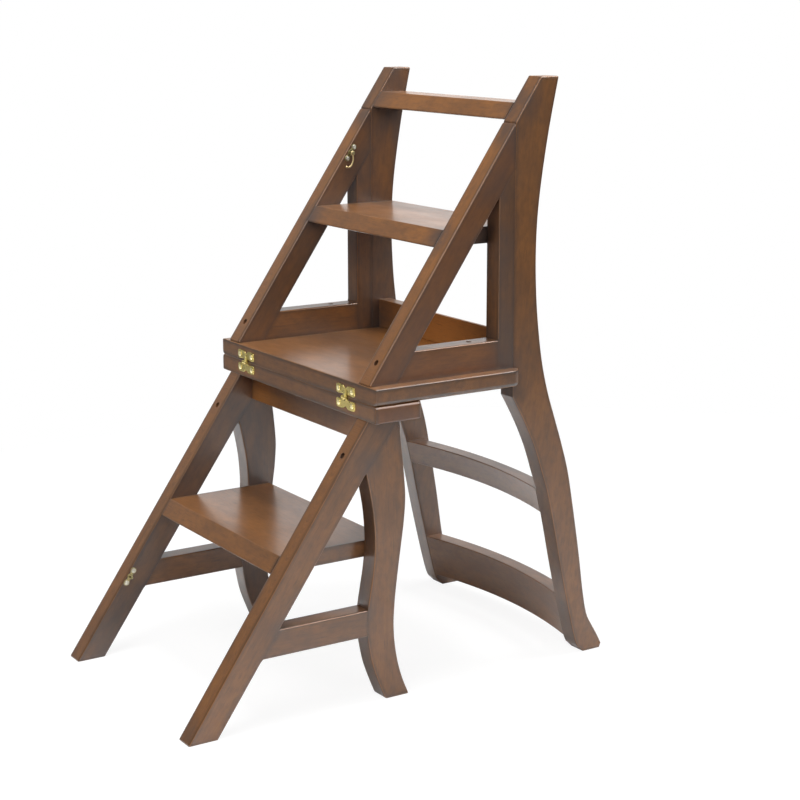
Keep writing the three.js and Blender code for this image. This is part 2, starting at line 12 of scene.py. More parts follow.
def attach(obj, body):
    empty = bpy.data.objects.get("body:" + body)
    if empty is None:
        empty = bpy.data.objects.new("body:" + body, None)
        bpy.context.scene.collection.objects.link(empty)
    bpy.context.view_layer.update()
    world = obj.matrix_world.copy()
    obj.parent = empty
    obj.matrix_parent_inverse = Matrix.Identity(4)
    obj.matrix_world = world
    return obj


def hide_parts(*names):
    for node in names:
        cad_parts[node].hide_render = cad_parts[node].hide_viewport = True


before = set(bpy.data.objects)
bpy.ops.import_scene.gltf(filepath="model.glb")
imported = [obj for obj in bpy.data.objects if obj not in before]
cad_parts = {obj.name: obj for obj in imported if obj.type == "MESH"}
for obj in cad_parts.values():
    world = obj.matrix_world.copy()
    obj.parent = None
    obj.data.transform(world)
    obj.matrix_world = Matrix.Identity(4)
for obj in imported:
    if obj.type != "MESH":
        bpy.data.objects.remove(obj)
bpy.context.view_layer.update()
draw = np.random.default_rng(11)

# Sizes of the whole, in millimetres
SEAT_HEIGHT = 457.0
LADDER_HEIGHT = 2 * SEAT_HEIGHT
SEAT_HALF = 236.0
UPPER_OUTER, LOWER_OUTER, MEMBER = 216.5, 212.5, 32.0
UPPER_INNER, LOWER_INNER = UPPER_OUTER - MEMBER, LOWER_OUTER - MEMBER
BOARD, TREAD, BOARD_DEPTH = 25.5, 25.0, 77.0
LOWER_TOP, UPPER_BASE = SEAT_HEIGHT - BOARD, SEAT_HEIGHT + BOARD
STRINGER_WIDTH, STRINGER_LEAN = 38.8, np.radians(34.8)
SLOPE, RUN = np.tan(STRINGER_LEAN), STRINGER_WIDTH / np.cos(STRINGER_LEAN)
FRONT_SETBACK, TOP_SETBACK, FLARE = 1.5, 44.8, 4.0
POST_FRONT = FRONT_SETBACK + LOWER_TOP * SLOPE - TOP_SETBACK
POST_REACH, LEG_REACH = 184.0, 72.0
UPRIGHT_FRONT = POST_FRONT - 28.5
RAIL_BASE, RAIL_TOP = 105.0, 145.5
UPPER_RAIL_TOP = UPPER_BASE + 44.8
REAR_RAIL_FRONT, REAR_RAIL_DEPTH = POST_FRONT + 14.5, 22.0
TREAD_TOPS = (243.0, 695.0, 875.5)
APEX = 0.82 * LOWER_TOP
METRE = 0.001
ALONG_X, ALONG_Y, UPWARD = np.eye(3)

# How far each arris is eased: free edges, soles, edges of joints that show, hidden joints
EASED, SOLE, JOINT, CLOSED = 1.9, 1.5, 0.8, 0.12
ROUNDED_END, BOARD_CORNER, TOE_ROUND, BORDER = 5.5, 2.4, 7.0, 7.0
CORNER_STEPS, EASE_STEPS, CURVE_STEPS = 5, 4, 4
CREASE = np.radians(48)
# A corner is sharp where the product of its edges' normals is under this
SHARP = 0.9

# Edges of the back posts and sabre legs, as shares of their reach and of their unit's height
POST_REAR = [
    (0.422, 1), (0.334, 0.917), (0.265, 0.834), (0.23, 0.771), (0.22, 0.711), (0.228, 0.656),
    (0.25, 0.602), (0.296, 0.536), (0.361, 0.481), (0.442, 0.432), (0.524, 0.383), (0.595, 0.334),
    (0.649, 0.279), (0.698, 0.224), (0.739, 0.175), (0.784, 0.114), (0.831, 0.07), (0.893, 0.046),
    (0.953, 0.026), (1, 0.008),
]
POST_FORE = [
    (0.765, 0.004), (0.727, 0.016), (0.695, 0.034), (0.638, 0.077), (0.54, 0.159), (0.459, 0.234),
    (0.388, 0.295), (0.32, 0.337), (0.245, 0.381), (0.17, 0.415), (0.09, 0.446), (0, 0.4777),
]
LEG_REAR = [
    (0.764, 1), (0.806, 0.927), (0.854, 0.855), (0.9, 0.776), (0.921, 0.709), (0.886, 0.632),
    (0.842, 0.579), (0.768, 0.495), (0.683, 0.389), (0.646, 0.322), (0.631, 0.266), (0.654, 0.202),
    (0.728, 0.128), (0.842, 0.063), (1, 0),
]
LEG_FORE = [
    (0.417, 0), (0.321, 0.038), (0.144, 0.115), (0.054, 0.175), (-0.007, 0.243), (0.004, 0.338),
    (0.052, 0.392), (0.12, 0.455), (0.168, 0.52), (0.182, 0.585), (0.14, 0.677), (0.052, 0.76),
]


def lower_front(z):
    """Place along y of the lower stringers' front face at a height."""
    return FRONT_SETBACK - (LOWER_TOP - z) * SLOPE


def lower_back(z):
    """Place along y of the lower stringers' back face at a height."""
    return lower_front(z) + RUN + FLARE * z / LOWER_TOP


def upper_front(z):
    """Place along y of the upper stringers' front face at a height."""
    return FRONT_SETBACK + (z - UPPER_BASE) * SLOPE


def upper_back(z):
    """Place along y of the upper stringers' back face at a height."""
    return upper_front(z) + RUN


def upper_height(y):
    """Height of the upper stringers' front face at a place along y."""
    return UPPER_BASE + (y - FRONT_SETBACK) / SLOPE


SHIFT = np.array([0.0, -(lower_front(0) + POST_FRONT + POST_REACH) / 2, 0.0])


def curve(points, steps=CURVE_STEPS):
    """Catmull-Rom curve through points: on each span the cubic whose end slopes are half the chords
    between the neighbours, at equal steps."""
    p = np.asarray(points, float)
    before = np.vstack([p[:1], p[:-2]])
    after = np.vstack([p[2:], p[-1:]])
    start, end = p[:-1], p[1:]
    leave, arrive = (end - before) / 2, (after - start) / 2
    t = np.linspace(0, 1, steps, endpoint=False)[None, :, None]
    start, end, leave, arrive = (q[:, None, :] for q in (start, end, leave, arrive))
    cubic = (2 * start - 2 * end + leave + arrive) * t**3
    square = (-3 * start + 3 * end - 2 * leave - arrive) * t**2
    spans = cubic + square + leave * t + start
    return np.vstack([spans.reshape(-1, p.shape[1]), p[-1:]])


def scaled(shares, width, height, shift=0.0):
    """Points from shares of a width and a height, moved along the first axis."""
    return np.array(shares) * [width, height] + [shift, 0.0]


POST_REAR_LINE = curve(scaled(POST_REAR, POST_REACH, LADDER_HEIGHT, POST_FRONT))
POST_FORE_LINE = curve(scaled(POST_FORE, POST_REACH, LADDER_HEIGHT, POST_FRONT))
LEG_REAR_LINE = curve(scaled(LEG_REAR, LEG_REACH, LOWER_TOP))
LEG_FORE_LINE = curve(scaled(LEG_FORE, LEG_REACH, LOWER_TOP))


def along(line, z):
    """Place along y of a drawn edge at a height, by straight interpolation between its points."""
    order = np.argsort(line[:, 1])
    return np.interp(z, line[order, 1], line[order, 0])


def edge_points(place_at, heights):
    """Points at some heights on an edge whose place along y is given by a function of height."""
    return np.stack([place_at(heights), heights], axis=1)


def crossed(a, b):
    """Cross product of vectors in a plane."""
    return a[..., 0] * b[..., 1] - a[..., 1] * b[..., 0]


def edges_of(outline):
    """Points of an outline, its edges, their lengths and headings, and which way round it runs."""
    p = np.asarray(outline, float)
    following = np.roll(p, -1, axis=0)
    edge = following - p
    length = np.linalg.norm(edge, axis=1)
    return p, edge, length, edge / length[:, None], np.sign(np.sum(crossed(p, following)))


def outward_of(heading, way_round):
    """Outward normals of an outline's edges."""
    return way_round * np.stack([heading[:, 1], -heading[:, 0]], axis=1)


def softened(outline, ease, corner):
    """Rounds an outline's sharp corners and says how each point moves when its edges are eased.
    A corner becomes the parabola between two points equally far from it, at most 0.45 of an edge
    away. The move w of a point solves w.a = -ease of the edge before and w.b = -ease of the edge
    after, with a and b their outward normals; it is the smaller ease where they are nearly in line."""
    p, _, length, heading, way_round = edges_of(outline)
    b = outward_of(heading, way_round)
    a = np.roll(b, 1, axis=0)
    ease_b = np.broadcast_to(np.asarray(ease, float), len(p))
    ease_a = np.roll(ease_b, 1)
    least, most = np.minimum(ease_a, ease_b), np.maximum(ease_a, ease_b)
    c = np.sum(a * b, axis=1)
    sharp = c < SHARP
    wide = np.where(sharp, c, 0.5)
    move = -((ease_a - ease_b * wide)[:, None] * a + (ease_b - ease_a * wide)[:, None] * b)
    move = move / (1 - wide**2)[:, None]
    straight = -least[:, None] * (a + b) / (1 + np.abs(c))[:, None]
    move = np.where(sharp[:, None], move, straight)
    turn = np.arccos(np.clip(c, -1, 1))
    room = 0.45 * np.minimum(length, np.roll(length, 1))
    back_off = (np.minimum(corner * np.tan(turn / 2), room) * sharp)[:, None, None]
    first = p[:, None] - back_off * np.roll(heading, 1, axis=0)[:, None]
    last = p[:, None] + back_off * heading[:, None]
    s = np.linspace(0, 1, CORNER_STEPS)[None, :, None]
    arcs = (1 - s) ** 2 * first + 2 * s * (1 - s) * p[:, None] + s**2 * last
    keep = sharp[:, None] | (np.arange(CORNER_STEPS)[None, :] == 0)
    count = keep.sum(axis=1)
    return arcs[keep], np.repeat(move, count, axis=0), np.repeat(np.where(sharp, most, least), count)


def borders(outline):
    """Width of a border inside each edge: the least of BORDER, 0.28 of the way from the edge's middle
    m along its inward normal n to the nearest other edge, where m + u n = a + v (b - a), 0.4 of the
    edge's length plus 0.25 of the way along the outline to the nearest sharp corner, 0.7 of the
    radius of an outward bend and, beside a sharp corner, 0.6 of the edge beyond it."""
    a, edge, length, heading, way_round = edges_of(outline)
    inward = -outward_of(heading, way_round)[:, None]
    gap = a[None] - (a + np.roll(a, -1, axis=0))[:, None] / 2
    slant = crossed(inward, edge[None])
    slant = np.where(np.abs(slant) < 1e-9, 1e-9, slant)
    u, v = crossed(gap, edge[None]) / slant, crossed(gap, inward) / slant
    across = np.where((u > 1e-6) & (v >= -1e-6) & (v <= 1 + 1e-6), u, np.inf).min(axis=1)
    last = np.roll(heading, 1, axis=0)
    sharp = np.sum(last * heading, axis=1) < SHARP
    bend = np.maximum(way_round * crossed(last, heading), 1e-9)
    radius = (length + np.roll(length, 1)) / 2 / np.where(sharp, 1e-9, bend)
    start = np.concatenate([[0], np.cumsum(length)[:-1]])
    apart = np.abs(start[:, None] - start[sharp][None])
    to_corner = np.minimum(apart, length.sum() - apart).min(axis=1)
    return np.min([
        np.full(len(a), BORDER),
        0.28 * across,
        0.4 * length + 0.25 * np.minimum(to_corner, np.roll(to_corner, -1)),
        0.7 * np.minimum(radius, np.roll(radius, -1)),
        np.where(sharp, 0.6 * np.roll(length, 1), BORDER),
        np.where(np.roll(sharp, -1), 0.6 * np.roll(length, -1), BORDER),
    ], axis=0)


ORDERS = {"side": (2, 0, 1), "plan": (0, 1, 2), "front": (0, 2, 1)}


def slab(order, outline, span, low, high=None, corner=EASED, bordered=True):
    """Rings of an outline carried straight from one plane to another, its arrises eased by quarter
    rounds: at angle q a ring is drawn in by ease * (1 - sin q) and set in by reach * (1 - cos q).
    One more ring lies a border's width inside each flat end, and one that far along the sides."""
    points, move_low, reach_low = softened(outline, low, corner)
    _, move_high, reach_high = softened(outline, low if high is None else high, corner)
    _, inward, _ = softened(outline, borders(outline), corner)
    q = np.linspace(0, np.pi / 2, EASE_STEPS)[:, None]
    drawn, sunk = 1 - np.sin(q), 1 - np.cos(q)
    level = np.zeros((1, len(points)))
    sleeve = min(BORDER, (span[1] - span[0]) / 3)
    outlines = np.concatenate([
        (points + inward)[None], points + drawn[..., None] * move_low, points[None],
        points[None], points + drawn[::-1, :, None] * move_high, (points + inward)[None],
    ])
    levels = np.concatenate([
        level + span[0], span[0] + sunk * reach_low, level + span[0] + sleeve,
        level + span[1] - sleeve, span[1] - sunk[::-1] * reach_high, level + span[1],
    ])
    rings = np.concatenate([outlines, levels[..., None]], axis=2)
    if not bordered:
        rings = np.delete(rings, [0, EASE_STEPS + 1, EASE_STEPS + 2, len(rings) - 1], axis=0)
    return rings[:, :, ORDERS[order]]


def slab_edges(rings):
    """How near each point of a slab's rings is to an arris: 1 on the eased rings, 0 on the others,
    and 2 in the middle of a free arris, whose eased rings lie further apart than a joint's."""
    nearness = np.ones(rings.shape[:2])
    middle = len(rings) // 2
    nearness[[0, middle - 1, middle, -1]] = 0
    for ring, start, end in ((2, 1, EASE_STEPS), (-3, -2, -1 - EASE_STEPS)):
        free = np.linalg.norm(rings[end] - rings[start], axis=1) > 2 * JOINT
        nearness[ring] += free
    return nearness


def slab_shade(rings, sign, opening=None, outer=0.0):
    """How far painted shade covers each point of a side member's rings: 1 on the face towards the chair's
    middle, outer on the other, and between them what opening gives for y and z. The sign says on which
    side of the middle the member stands."""
    shade = np.zeros(rings.shape[:2])
    middle = len(rings) // 2
    low, high = slice(0, 3), slice(len(rings) - 3, None)
    shade[low], shade[high] = (1, outer) if sign > 0 else (outer, 1)
    if opening is not None:
        shade[middle - 1:middle + 1] = opening(*rings[0, :, 1:].T)
    return shade


def round_about(count):
    """Equal angles of a full turn."""
    return np.linspace(0, 2 * np.pi, count, endpoint=False)


def circle(count, first, second):
    """Points of a circle of radius 1 in the plane of two directions, at equal angles."""
    angle = round_about(count)[:, None]
    return np.cos(angle) * first + np.sin(angle) * second


def turned(profile, centre, sides=28):
    """Surface of revolution: (place along x, radius) pairs turned about a line along x through
    centre, as rings of equal angles."""
    profile = np.array(profile)[:, None]
    return profile[..., :1] * ALONG_X + profile[..., 1:] * circle(sides, ALONG_Y, UPWARD) + centre


def tube(path, radius, sides=14):
    """A round section carried along a path that lies in a plane of constant x: each ring stands
    across the path's direction, found from the differences of neighbouring points."""
    heading = np.gradient(path, axis=0)
    heading /= np.linalg.norm(heading, axis=1, keepdims=True)
    upright = np.cross(ALONG_X, heading)[:, None]
    return path[:, None] + radius[:, None, None] * circle(sides, ALONG_X, upright)


def hoop(centre, ring_radius, across, thick, sides=28, section=12):
    """A closed ring round an axis along x: an oval section, across by thick, turned round the
    centre. It is given as rings of the section, the first one repeated at the end."""
    turn = np.linspace(0, 2 * np.pi, sides + 1)[:, None]
    angle = round_about(section)[None, :]
    radius = ring_radius + across / 2 * np.cos(angle)
    x = thick / 2 * np.sin(angle) + 0 * turn
    rings = np.stack([x, radius * np.cos(turn), radius * np.sin(turn)], axis=2)
    return rings + centre


def shell(rings):
    """Vertices and faces of a skin over rings: quads between neighbours and a flat face on each
    end, or none where the last ring is the first. The faces are turned round where six times the
    volume under them, the sum of a.(b x c) over their triangles, is negative."""
    closed = np.allclose(rings[0], rings[-1])
    if closed:
        rings = rings[:-1]
    count, sides = rings.shape[:2]
    vertices = rings.reshape(-1, 3)
    i = np.arange(count if closed else count - 1)[:, None]
    j = np.arange(sides)[None, :]
    here, there, following = i * sides, ((i + 1) % count) * sides, (j + 1) % sides
    quads = np.stack([here + j, here + following, there + following, there + j], axis=2).reshape(-1, 4)
    triangles = np.concatenate([quads[:, [0, 1, 2]], quads[:, [0, 2, 3]]])
    faces = quads.tolist()
    if not closed:
        loop = np.arange(sides)
        ends = [loop[::-1], loop + (count - 1) * sides]
        fans = [np.stack([0 * e[2:] + e[0], e[1:-1], e[2:]], axis=1) for e in ends]
        triangles = np.concatenate([triangles, *fans])
        faces += [e.tolist() for e in ends]
    a, b, c = (vertices[triangles[:, k]] for k in range(3))
    if np.sum(a * np.cross(b, c)) < 0:
        faces = [f[::-1] for f in faces]
    return vertices, faces


def mesh_object(name, skins, grain=UPWARD, **masks):
    """One object from the rings of closed skins. Its 'grain' attribute holds each point's place in metres
    along the grain and across it, moved by a random distance for each piece. The masks say how near a
    point is to an arris, how far painted shade on wood or a painted highlight on metal covers it, and how
    much darker and redder its colour is."""
    vertices, faces = [], []
    for rings in skins:
        points, skin = shell(rings)
        start = sum(len(v) for v in vertices)
        vertices.append(points)
        faces += [[k + start for k in f] for f in skin]
    points = (np.vstack(vertices) + SHIFT) * METRE
    mesh = bpy.data.meshes.new(name)
    mesh.from_pydata(points.tolist(), [], faces)
    lengthwise = np.array(grain) / np.linalg.norm(grain)
    crosswise = np.cross(lengthwise, ALONG_X if abs(lengthwise[0]) < 0.8 else ALONG_Y)
    crosswise /= np.linalg.norm(crosswise)
    axes = np.stack([lengthwise, crosswise, np.cross(lengthwise, crosswise)], axis=1)
    place = points @ axes + draw.uniform(-3, 3, 3)
    attribute = mesh.attributes.new("grain", "FLOAT_VECTOR", "POINT")
    attribute.data.foreach_set("vector", place.astype(np.float32).ravel())
    for label in ("edge", "shade", "tone"):
        values = np.ravel(masks.get(label, 0.0)) * np.ones(len(points))
        attribute = mesh.attributes.new(label, "FLOAT", "POINT")
        attribute.data.foreach_set("value", values.astype(np.float32))
    mesh.shade_smooth()
    mesh.set_sharp_from_angle(angle=CREASE)
    mesh.update()
    piece = bpy.data.objects.new(name, mesh)
    bpy.context.scene.collection.objects.link(piece)
    return piece


def bored(piece, cutters):
    """The piece with closed skins taken away from it."""
    for rings in cutters:
        cutter = mesh_object("cutter", [rings])
        cut = piece.modifiers.new("bore", "BOOLEAN")
        cut.operation, cut.solver, cut.object = "DIFFERENCE", "EXACT", cutter
        bpy.context.view_layer.update()
        graph = bpy.context.evaluated_depsgraph_get()
        made = bpy.data.meshes.new_from_object(piece.evaluated_get(graph))
        piece.modifiers.clear()
        old, piece.data = piece.data, made
        bpy.data.meshes.remove(old)
        bpy.data.objects.remove(cutter)
    return piece


def feed(tree, socket, value):
    """Links a socket to another one, or gives it a plain value."""
    if isinstance(value, bpy.types.NodeSocket):
        tree.links.new(value, socket)
    else:
        socket.default_value = value


def fed_node(tree, kind, inputs, **settings):
    """A new shader node with its settings, and its inputs fed by name or number."""
    node = tree.nodes.new(f"ShaderNode{kind}")
    for label, value in settings.items():
        setattr(node, label, value)
    for label, value in inputs.items():
        feed(tree, node.inputs[label], value)
    return node


def worked(tree, operation, *values):
    """Result of a math node on values or sockets."""
    return fed_node(tree, "Math", dict(enumerate(values)), operation=operation).outputs["Value"]


def vector_worked(tree, operation, *values, result="Vector"):
    """Result of a vector math node on vectors or sockets."""
    return fed_node(tree, "VectorMath", dict(enumerate(values)), operation=operation).outputs[result]


def combined(tree, operation, total, *values):
    """Values put together one after another by a math operation."""
    for value in values:
        total = worked(tree, operation, total, value)
    return total


def multiply(tree, *values):
    """Product of values or sockets."""
    return combined(tree, "MULTIPLY", *values)


def either(tree, *values):
    """The greatest of several values."""
    return combined(tree, "MAXIMUM", *values)


def stretched_noise(tree, source, stretch, detail, roughness):
    """Noise on coordinates multiplied by a vector: small along the grain, large across it."""
    place = vector_worked(tree, "MULTIPLY", source, stretch)
    inputs = {"Vector": place, "Scale": 1, "Detail": detail, "Roughness": roughness}
    return fed_node(tree, "TexNoise", inputs).outputs["Fac"]


def spread(tree, source, low, high, out_low=0.0, out_high=1.0, kind="LINEAR"):
    """Maps a value from one range to another, clamped."""
    inputs = dict(enumerate((source, low, high, out_low, out_high)))
    return fed_node(tree, "MapRange", inputs, interpolation_type=kind).outputs["Result"]


def blend_colour(tree, factor, first, second):
    """Mixes two colours by a factor; colours and factors may be sockets or values."""
    return fed_node(tree, "Mix", {0: factor, 6: first, 7: second}, data_type="RGBA").outputs[2]


def spots_near(tree, places):
    """How near a point of the frame is to some places: the greatest of 1 - distance / reach, eased,
    for each (x, y, z, reach) in millimetres, with x taken without its sign."""
    place = fed_node(tree, "TexCoord", {}).outputs["Object"]
    sideways = vector_worked(tree, "ABSOLUTE", vector_worked(tree, "MULTIPLY", place, (1, 0, 0)))
    folded = vector_worked(tree, "MULTIPLY_ADD", place, (0, 1, 1), sideways)
    masks = []
    for *centre, reach in places:
        distance = vector_worked(tree, "DISTANCE", folded, (centre + SHIFT) * METRE, result="Value")
        masks.append(spread(tree, distance, 0, reach * METRE, 1, 0, "SMOOTHSTEP"))
    return either(tree, *masks)


def effect_group(name, **inputs):
    """An empty shader node group, its inputs and its outputs: a colour, a roughness and a height.
    An input is a vector where no value is given for it, or else a colour or a number."""
    group = bpy.data.node_groups.new(name, "ShaderNodeTree")
    for label, value in inputs.items():
        kind = {type(None): "Vector", tuple: "Color"}.get(type(value), "Float")
        socket = group.interface.new_socket(label, in_out="INPUT", socket_type=f"NodeSocket{kind}")
        if value is not None:
            socket.default_value = value
    for label, kind in (("Color", "Color"), ("Roughness", "Float"), ("Height", "Float")):
        group.interface.new_socket(label, in_out="OUTPUT", socket_type=f"NodeSocket{kind}")
    return group, group.nodes.new("NodeGroupInput").outputs, group.nodes.new("NodeGroupOutput").inputs


# Patterns of the wood: how fast each changes along the grain and twice across it, detail, roughness
GRAIN_PATTERNS = {
    "bands": ((1.6, 26, 26), 3, 0.55), "streaks": ((16, 260, 260), 5, 0.62),
    "pores": ((40, 900, 900), 2, 0.5), "clouds": ((9, 20, 20), 4, 0.6),
    "amber": ((13, 30, 30), 3, 0.55), "mottle": ((70, 130, 130), 3, 0.6),
}
METAL_PATTERNS = {"clouds": ((260, 260, 260), 4, 0.6), "grit": ((2600, 2600, 2600), 2, 0.5)}


def stained_grain(places, warm_places):
    """Stained wood: bands, streaks and dark pores along the grain, darker and more amber blotches, and a
    dark glaze beside the arrises; painted shade in the corners of the frame and on the faces the shade
    attribute marks, and a painted highlight along the middle of free arrises."""
    group, given, result = effect_group(
        "stained_grain", Grain=None, Edge=0.0, Shade=0.0, Tone=0.0,
        Stain=(0.245, 0.101, 0.032, 1), Dark=(0.06, 0.036, 0.024, 1), Light=(0.355, 0.146, 0.04, 1),
        Amber=(0.5, 0.2, 0.05, 1), Smoky=(0.052, 0.044, 0.043, 1), Deep=(0.11, 0.028, 0.009, 1),
        Glaze=0.65, Smoke=0.85, Warmth=0.8, Rub=0.9, Polish=0.33,
    )
    dark, light, shade_grey = given["Dark"], given["Light"], given["Smoky"]
    bands, streaks, pores, clouds, amber, mottle = (
        stretched_noise(group, given["Grain"], *pattern) for pattern in GRAIN_PATTERNS.values()
    )
    dark_pores = spread(group, pores, 0.58, 0.7, 0, 0.4)
    colour = given["Stain"]
    for pattern, low, high, most, tint in (
        (bands, 0.36, 0.66, 0.28, dark), (amber, 0.42, 0.7, 0.5, light),
        (streaks, 0.4, 0.66, 0.2, light), (clouds, 0.4, 0.74, 0.36, dark),
        (mottle, 0.42, 0.72, 0.3, dark),
    ):
        colour = blend_colour(group, spread(group, pattern, low, high, 0, most), colour, tint)
    warm = multiply(group, spots_near(group, warm_places), given["Warmth"])
    patchy = spread(group, clouds, 0.3, 0.6, 0.45, 1)
    near = multiply(group, spread(group, given["Edge"], 0, 1), patchy, given["Glaze"])
    uneven = spread(group, amber, 0.3, 0.65, 1, 0.4)
    # Painted shade: colour darkened and greyed near the listed corner places, where shade falls between
    # parts
    corner_shade = multiply(group, spots_near(group, places), given["Smoke"], uneven)
    # Painted highlight: a lighter line along the middle of each free arris, where the eased edge would
    # catch the light
    highlight_patches = spread(group, amber, 0.35, 0.6, 0.5, 1)
    arris_highlight = multiply(group, spread(group, given["Edge"], 1, 2), given["Rub"], highlight_patches)
    for amount, tint in (
        (warm, given["Amber"]), (dark_pores, dark), (given["Tone"], given["Deep"]), (near, dark),
        (corner_shade, shade_grey), (arris_highlight, light),
    ):
        colour = blend_colour(group, amount, colour, tint)
    # Painted shade: the colour greys and darkens where the shade attribute marks faces in shade
    face_shade = multiply(group, given["Shade"], spread(group, clouds, 0.3, 0.65, 0.35, 0.75))
    feed(group, result["Color"], blend_colour(group, face_shade, colour, shade_grey))
    uneven = spread(group, clouds, 0.3, 0.7, -0.03, 0.05)
    feed(group, result["Roughness"], worked(group, "ADD", given["Polish"], uneven))
    feed(group, result["Height"], worked(group, "SUBTRACT", multiply(group, streaks, 0.5), dark_pores))
    return group


def patina():
    """Cast and tumbled metal: soft clouds of tarnish, a fine grit that roughens it, and a brighter colour
    painted on as a highlight where the shade attribute asks for it."""
    group, given, result = effect_group(
        "patina", Clean=(0.8, 0.65, 0.25, 1), Tarnish=(0.4, 0.3, 0.1, 1), Rubbed=(0.85, 0.8, 0.6, 1),
        Shade=0.0, Amount=0.5, Polish=0.25,
    )
    place = fed_node(group, "TexCoord", {}).outputs["Object"]
    clouds, grit = (stretched_noise(group, place, *pattern) for pattern in METAL_PATTERNS.values())
    tarnished = multiply(group, spread(group, clouds, 0.4, 0.7), given["Amount"])
    colour = blend_colour(group, tarnished, given["Clean"], given["Tarnish"])
    feed(group, result["Color"], blend_colour(group, given["Shade"], colour, given["Rubbed"]))
    uneven = spread(group, clouds, 0.3, 0.7, 0, 0.15)
    feed(group, result["Roughness"], worked(group, "ADD", given["Polish"], uneven))
    feed(group, result["Height"], grit)
    return group


WOOD_ATTRIBUTES = {"Grain": ("grain", "Vector"), "Edge": ("edge", "Fac"), "Tone": ("tone", "Fac")}
COAT_ROUGHNESS = 0.16


def finish_material(name, group, attributes, bump, distance, metal=0.0, coat=0.0, **values):
    """A material that feeds a Principled shader from one effect group, with its own values and the
    piece's own attributes."""
    material = bpy.data.materials.new(name)
    material.use_nodes = True
    tree = material.node_tree
    effect = tree.nodes.new("ShaderNodeGroup")
    effect.node_tree = group
    for label, value in values.items():
        effect.inputs[label].default_value = value
    for socket, (label, output) in {"Shade": ("shade", "Fac"), **attributes}.items():
        attribute = fed_node(tree, "Attribute", {}, attribute_name=label)
        feed(tree, effect.inputs[socket], attribute.outputs[output])
    relief = fed_node(tree, "Bump", {
        "Strength": bump, "Distance": distance, "Height": effect.outputs["Height"],
    })
    for label, value in {
        "Base Color": effect.outputs["Color"], "Roughness": effect.outputs["Roughness"],
        "Normal": relief.outputs["Normal"], "Metallic": metal, "Specular IOR Level": 0.5,
        "Coat Weight": coat, "Coat Roughness": COAT_ROUGHNESS,
    }.items():
        feed(tree, tree.nodes["Principled BSDF"].inputs[label], value)
    return material


MEETING = upper_height(UPRIGHT_FRONT - RUN)
# Painted shade in corners, under the seat and treads; where the wood is warm: x without its sign, y, z and
# reach
CORNER_SHADE_SPOTS = [
    (196, lower_back(APEX) + 5, APEX + 10, 48),
    (196, lower_back(LOWER_TOP), LOWER_TOP - 4, 62),
    (196, lower_back(RAIL_TOP), RAIL_TOP, 34),
    (196, along(LEG_FORE_LINE, RAIL_TOP), RAIL_TOP, 34),
    (196, lower_front(6) + RUN / 2, 0, 40),
    (196, LEG_FORE_LINE[0][0] + 15, 0, 34),
    (200, UPRIGHT_FRONT, MEETING + 6, 52),
    (200, UPRIGHT_FRONT + 6, UPPER_RAIL_TOP + 4, 46),
    (200, upper_back(UPPER_RAIL_TOP), UPPER_RAIL_TOP, 30),
    (200, POST_FRONT, SEAT_HEIGHT + 4, 62),
    (186, POST_FRONT + 6, UPPER_BASE + 10, 80),
    (200, POST_FRONT - 4, upper_height(POST_FRONT) - 14, 44),
    (178, UPRIGHT_FRONT + 2, TREAD_TOPS[1] - 20, 64),
    (186, POST_FRONT + 20, TREAD_TOPS[2] - 20, 56),
    (182, upper_front(TREAD_TOPS[1] - 12), TREAD_TOPS[1] - 12, 48),
    (186, POST_FRONT, TREAD_TOPS[1] + 4, 40),
    (182, upper_front(TREAD_TOPS[2] - 12), TREAD_TOPS[2] - 12, 44),
    (200, POST_FRONT, LADDER_HEIGHT - 30, 90),
]
WARM = [(0, POST_FRONT + 14, UPPER_BASE + 22, 190), (150, 34, LOWER_TOP - 24, 70)]
GRAIN, PATINA = stained_grain(CORNER_SHADE_SPOTS, WARM), patina()
WOODS = {
    "frame_wood": finish_material(
        "frame_wood", GRAIN, WOOD_ATTRIBUTES, bump=0.25, distance=0.0003, coat=0.15,
    ),
    "board_wood": finish_material(
        "board_wood", GRAIN, WOOD_ATTRIBUTES, bump=0.2, distance=0.0003, coat=0.2,
        Dark=(0.06, 0.036, 0.023, 1), Glaze=0.9, Polish=0.32,
    ),
}
# Bump, tarnish, polish, and the clean, the tarnished and the painted highlight colour of each metal
METALS = {
    name: finish_material(
        name, PATINA, {}, bump, distance=0.0001, metal=1.0, Amount=amount, Polish=polish,
        Clean=(*clean, 1), Tarnish=(*tarnish, 1), Rubbed=(*painted_shine, 1),
    )
    for name, bump, amount, polish, clean, tarnish, painted_shine in (
        ("brass", 0.03, 0.5, 0.24, (0.8, 0.66, 0.24), (0.5, 0.39, 0.11), (0.94, 0.85, 0.5)),
        ("pale_brass", 0.04, 0.7, 0.28, (0.34, 0.29, 0.15), (0.17, 0.14, 0.06), (0.45, 0.43, 0.37)),
        ("hook_brass", 0.04, 0.7, 0.3, (0.54, 0.42, 0.22), (0.32, 0.24, 0.11), (0.74, 0.64, 0.44)),
        ("steel", 0.2, 0.8, 0.45, (0.2, 0.13, 0.085), (0.1, 0.06, 0.04), (0.85, 0.8, 0.6)),
    )
}


def place_piece(piece, name, material, body):
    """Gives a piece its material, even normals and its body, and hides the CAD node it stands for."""
    piece.data.materials.clear()
    piece.data.materials.append(material)
    normals = piece.modifiers.new("even_normals", "WEIGHTED_NORMAL")
    normals.keep_sharp = True
    normals.weight = 100
    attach(piece, body)
    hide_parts(name)


def wooden(name, rings, body, grain=ALONG_X, wood="frame_wood", cutters=(), **masks):
    """A wooden piece that stands for the CAD node of its name."""
    if "edge" not in masks:
        masks["edge"] = slab_edges(rings)
    piece = bored(mesh_object(f"{name}_wood", [rings], grain, **masks), cutters)
    place_piece(piece, name, WOODS[wood], body)


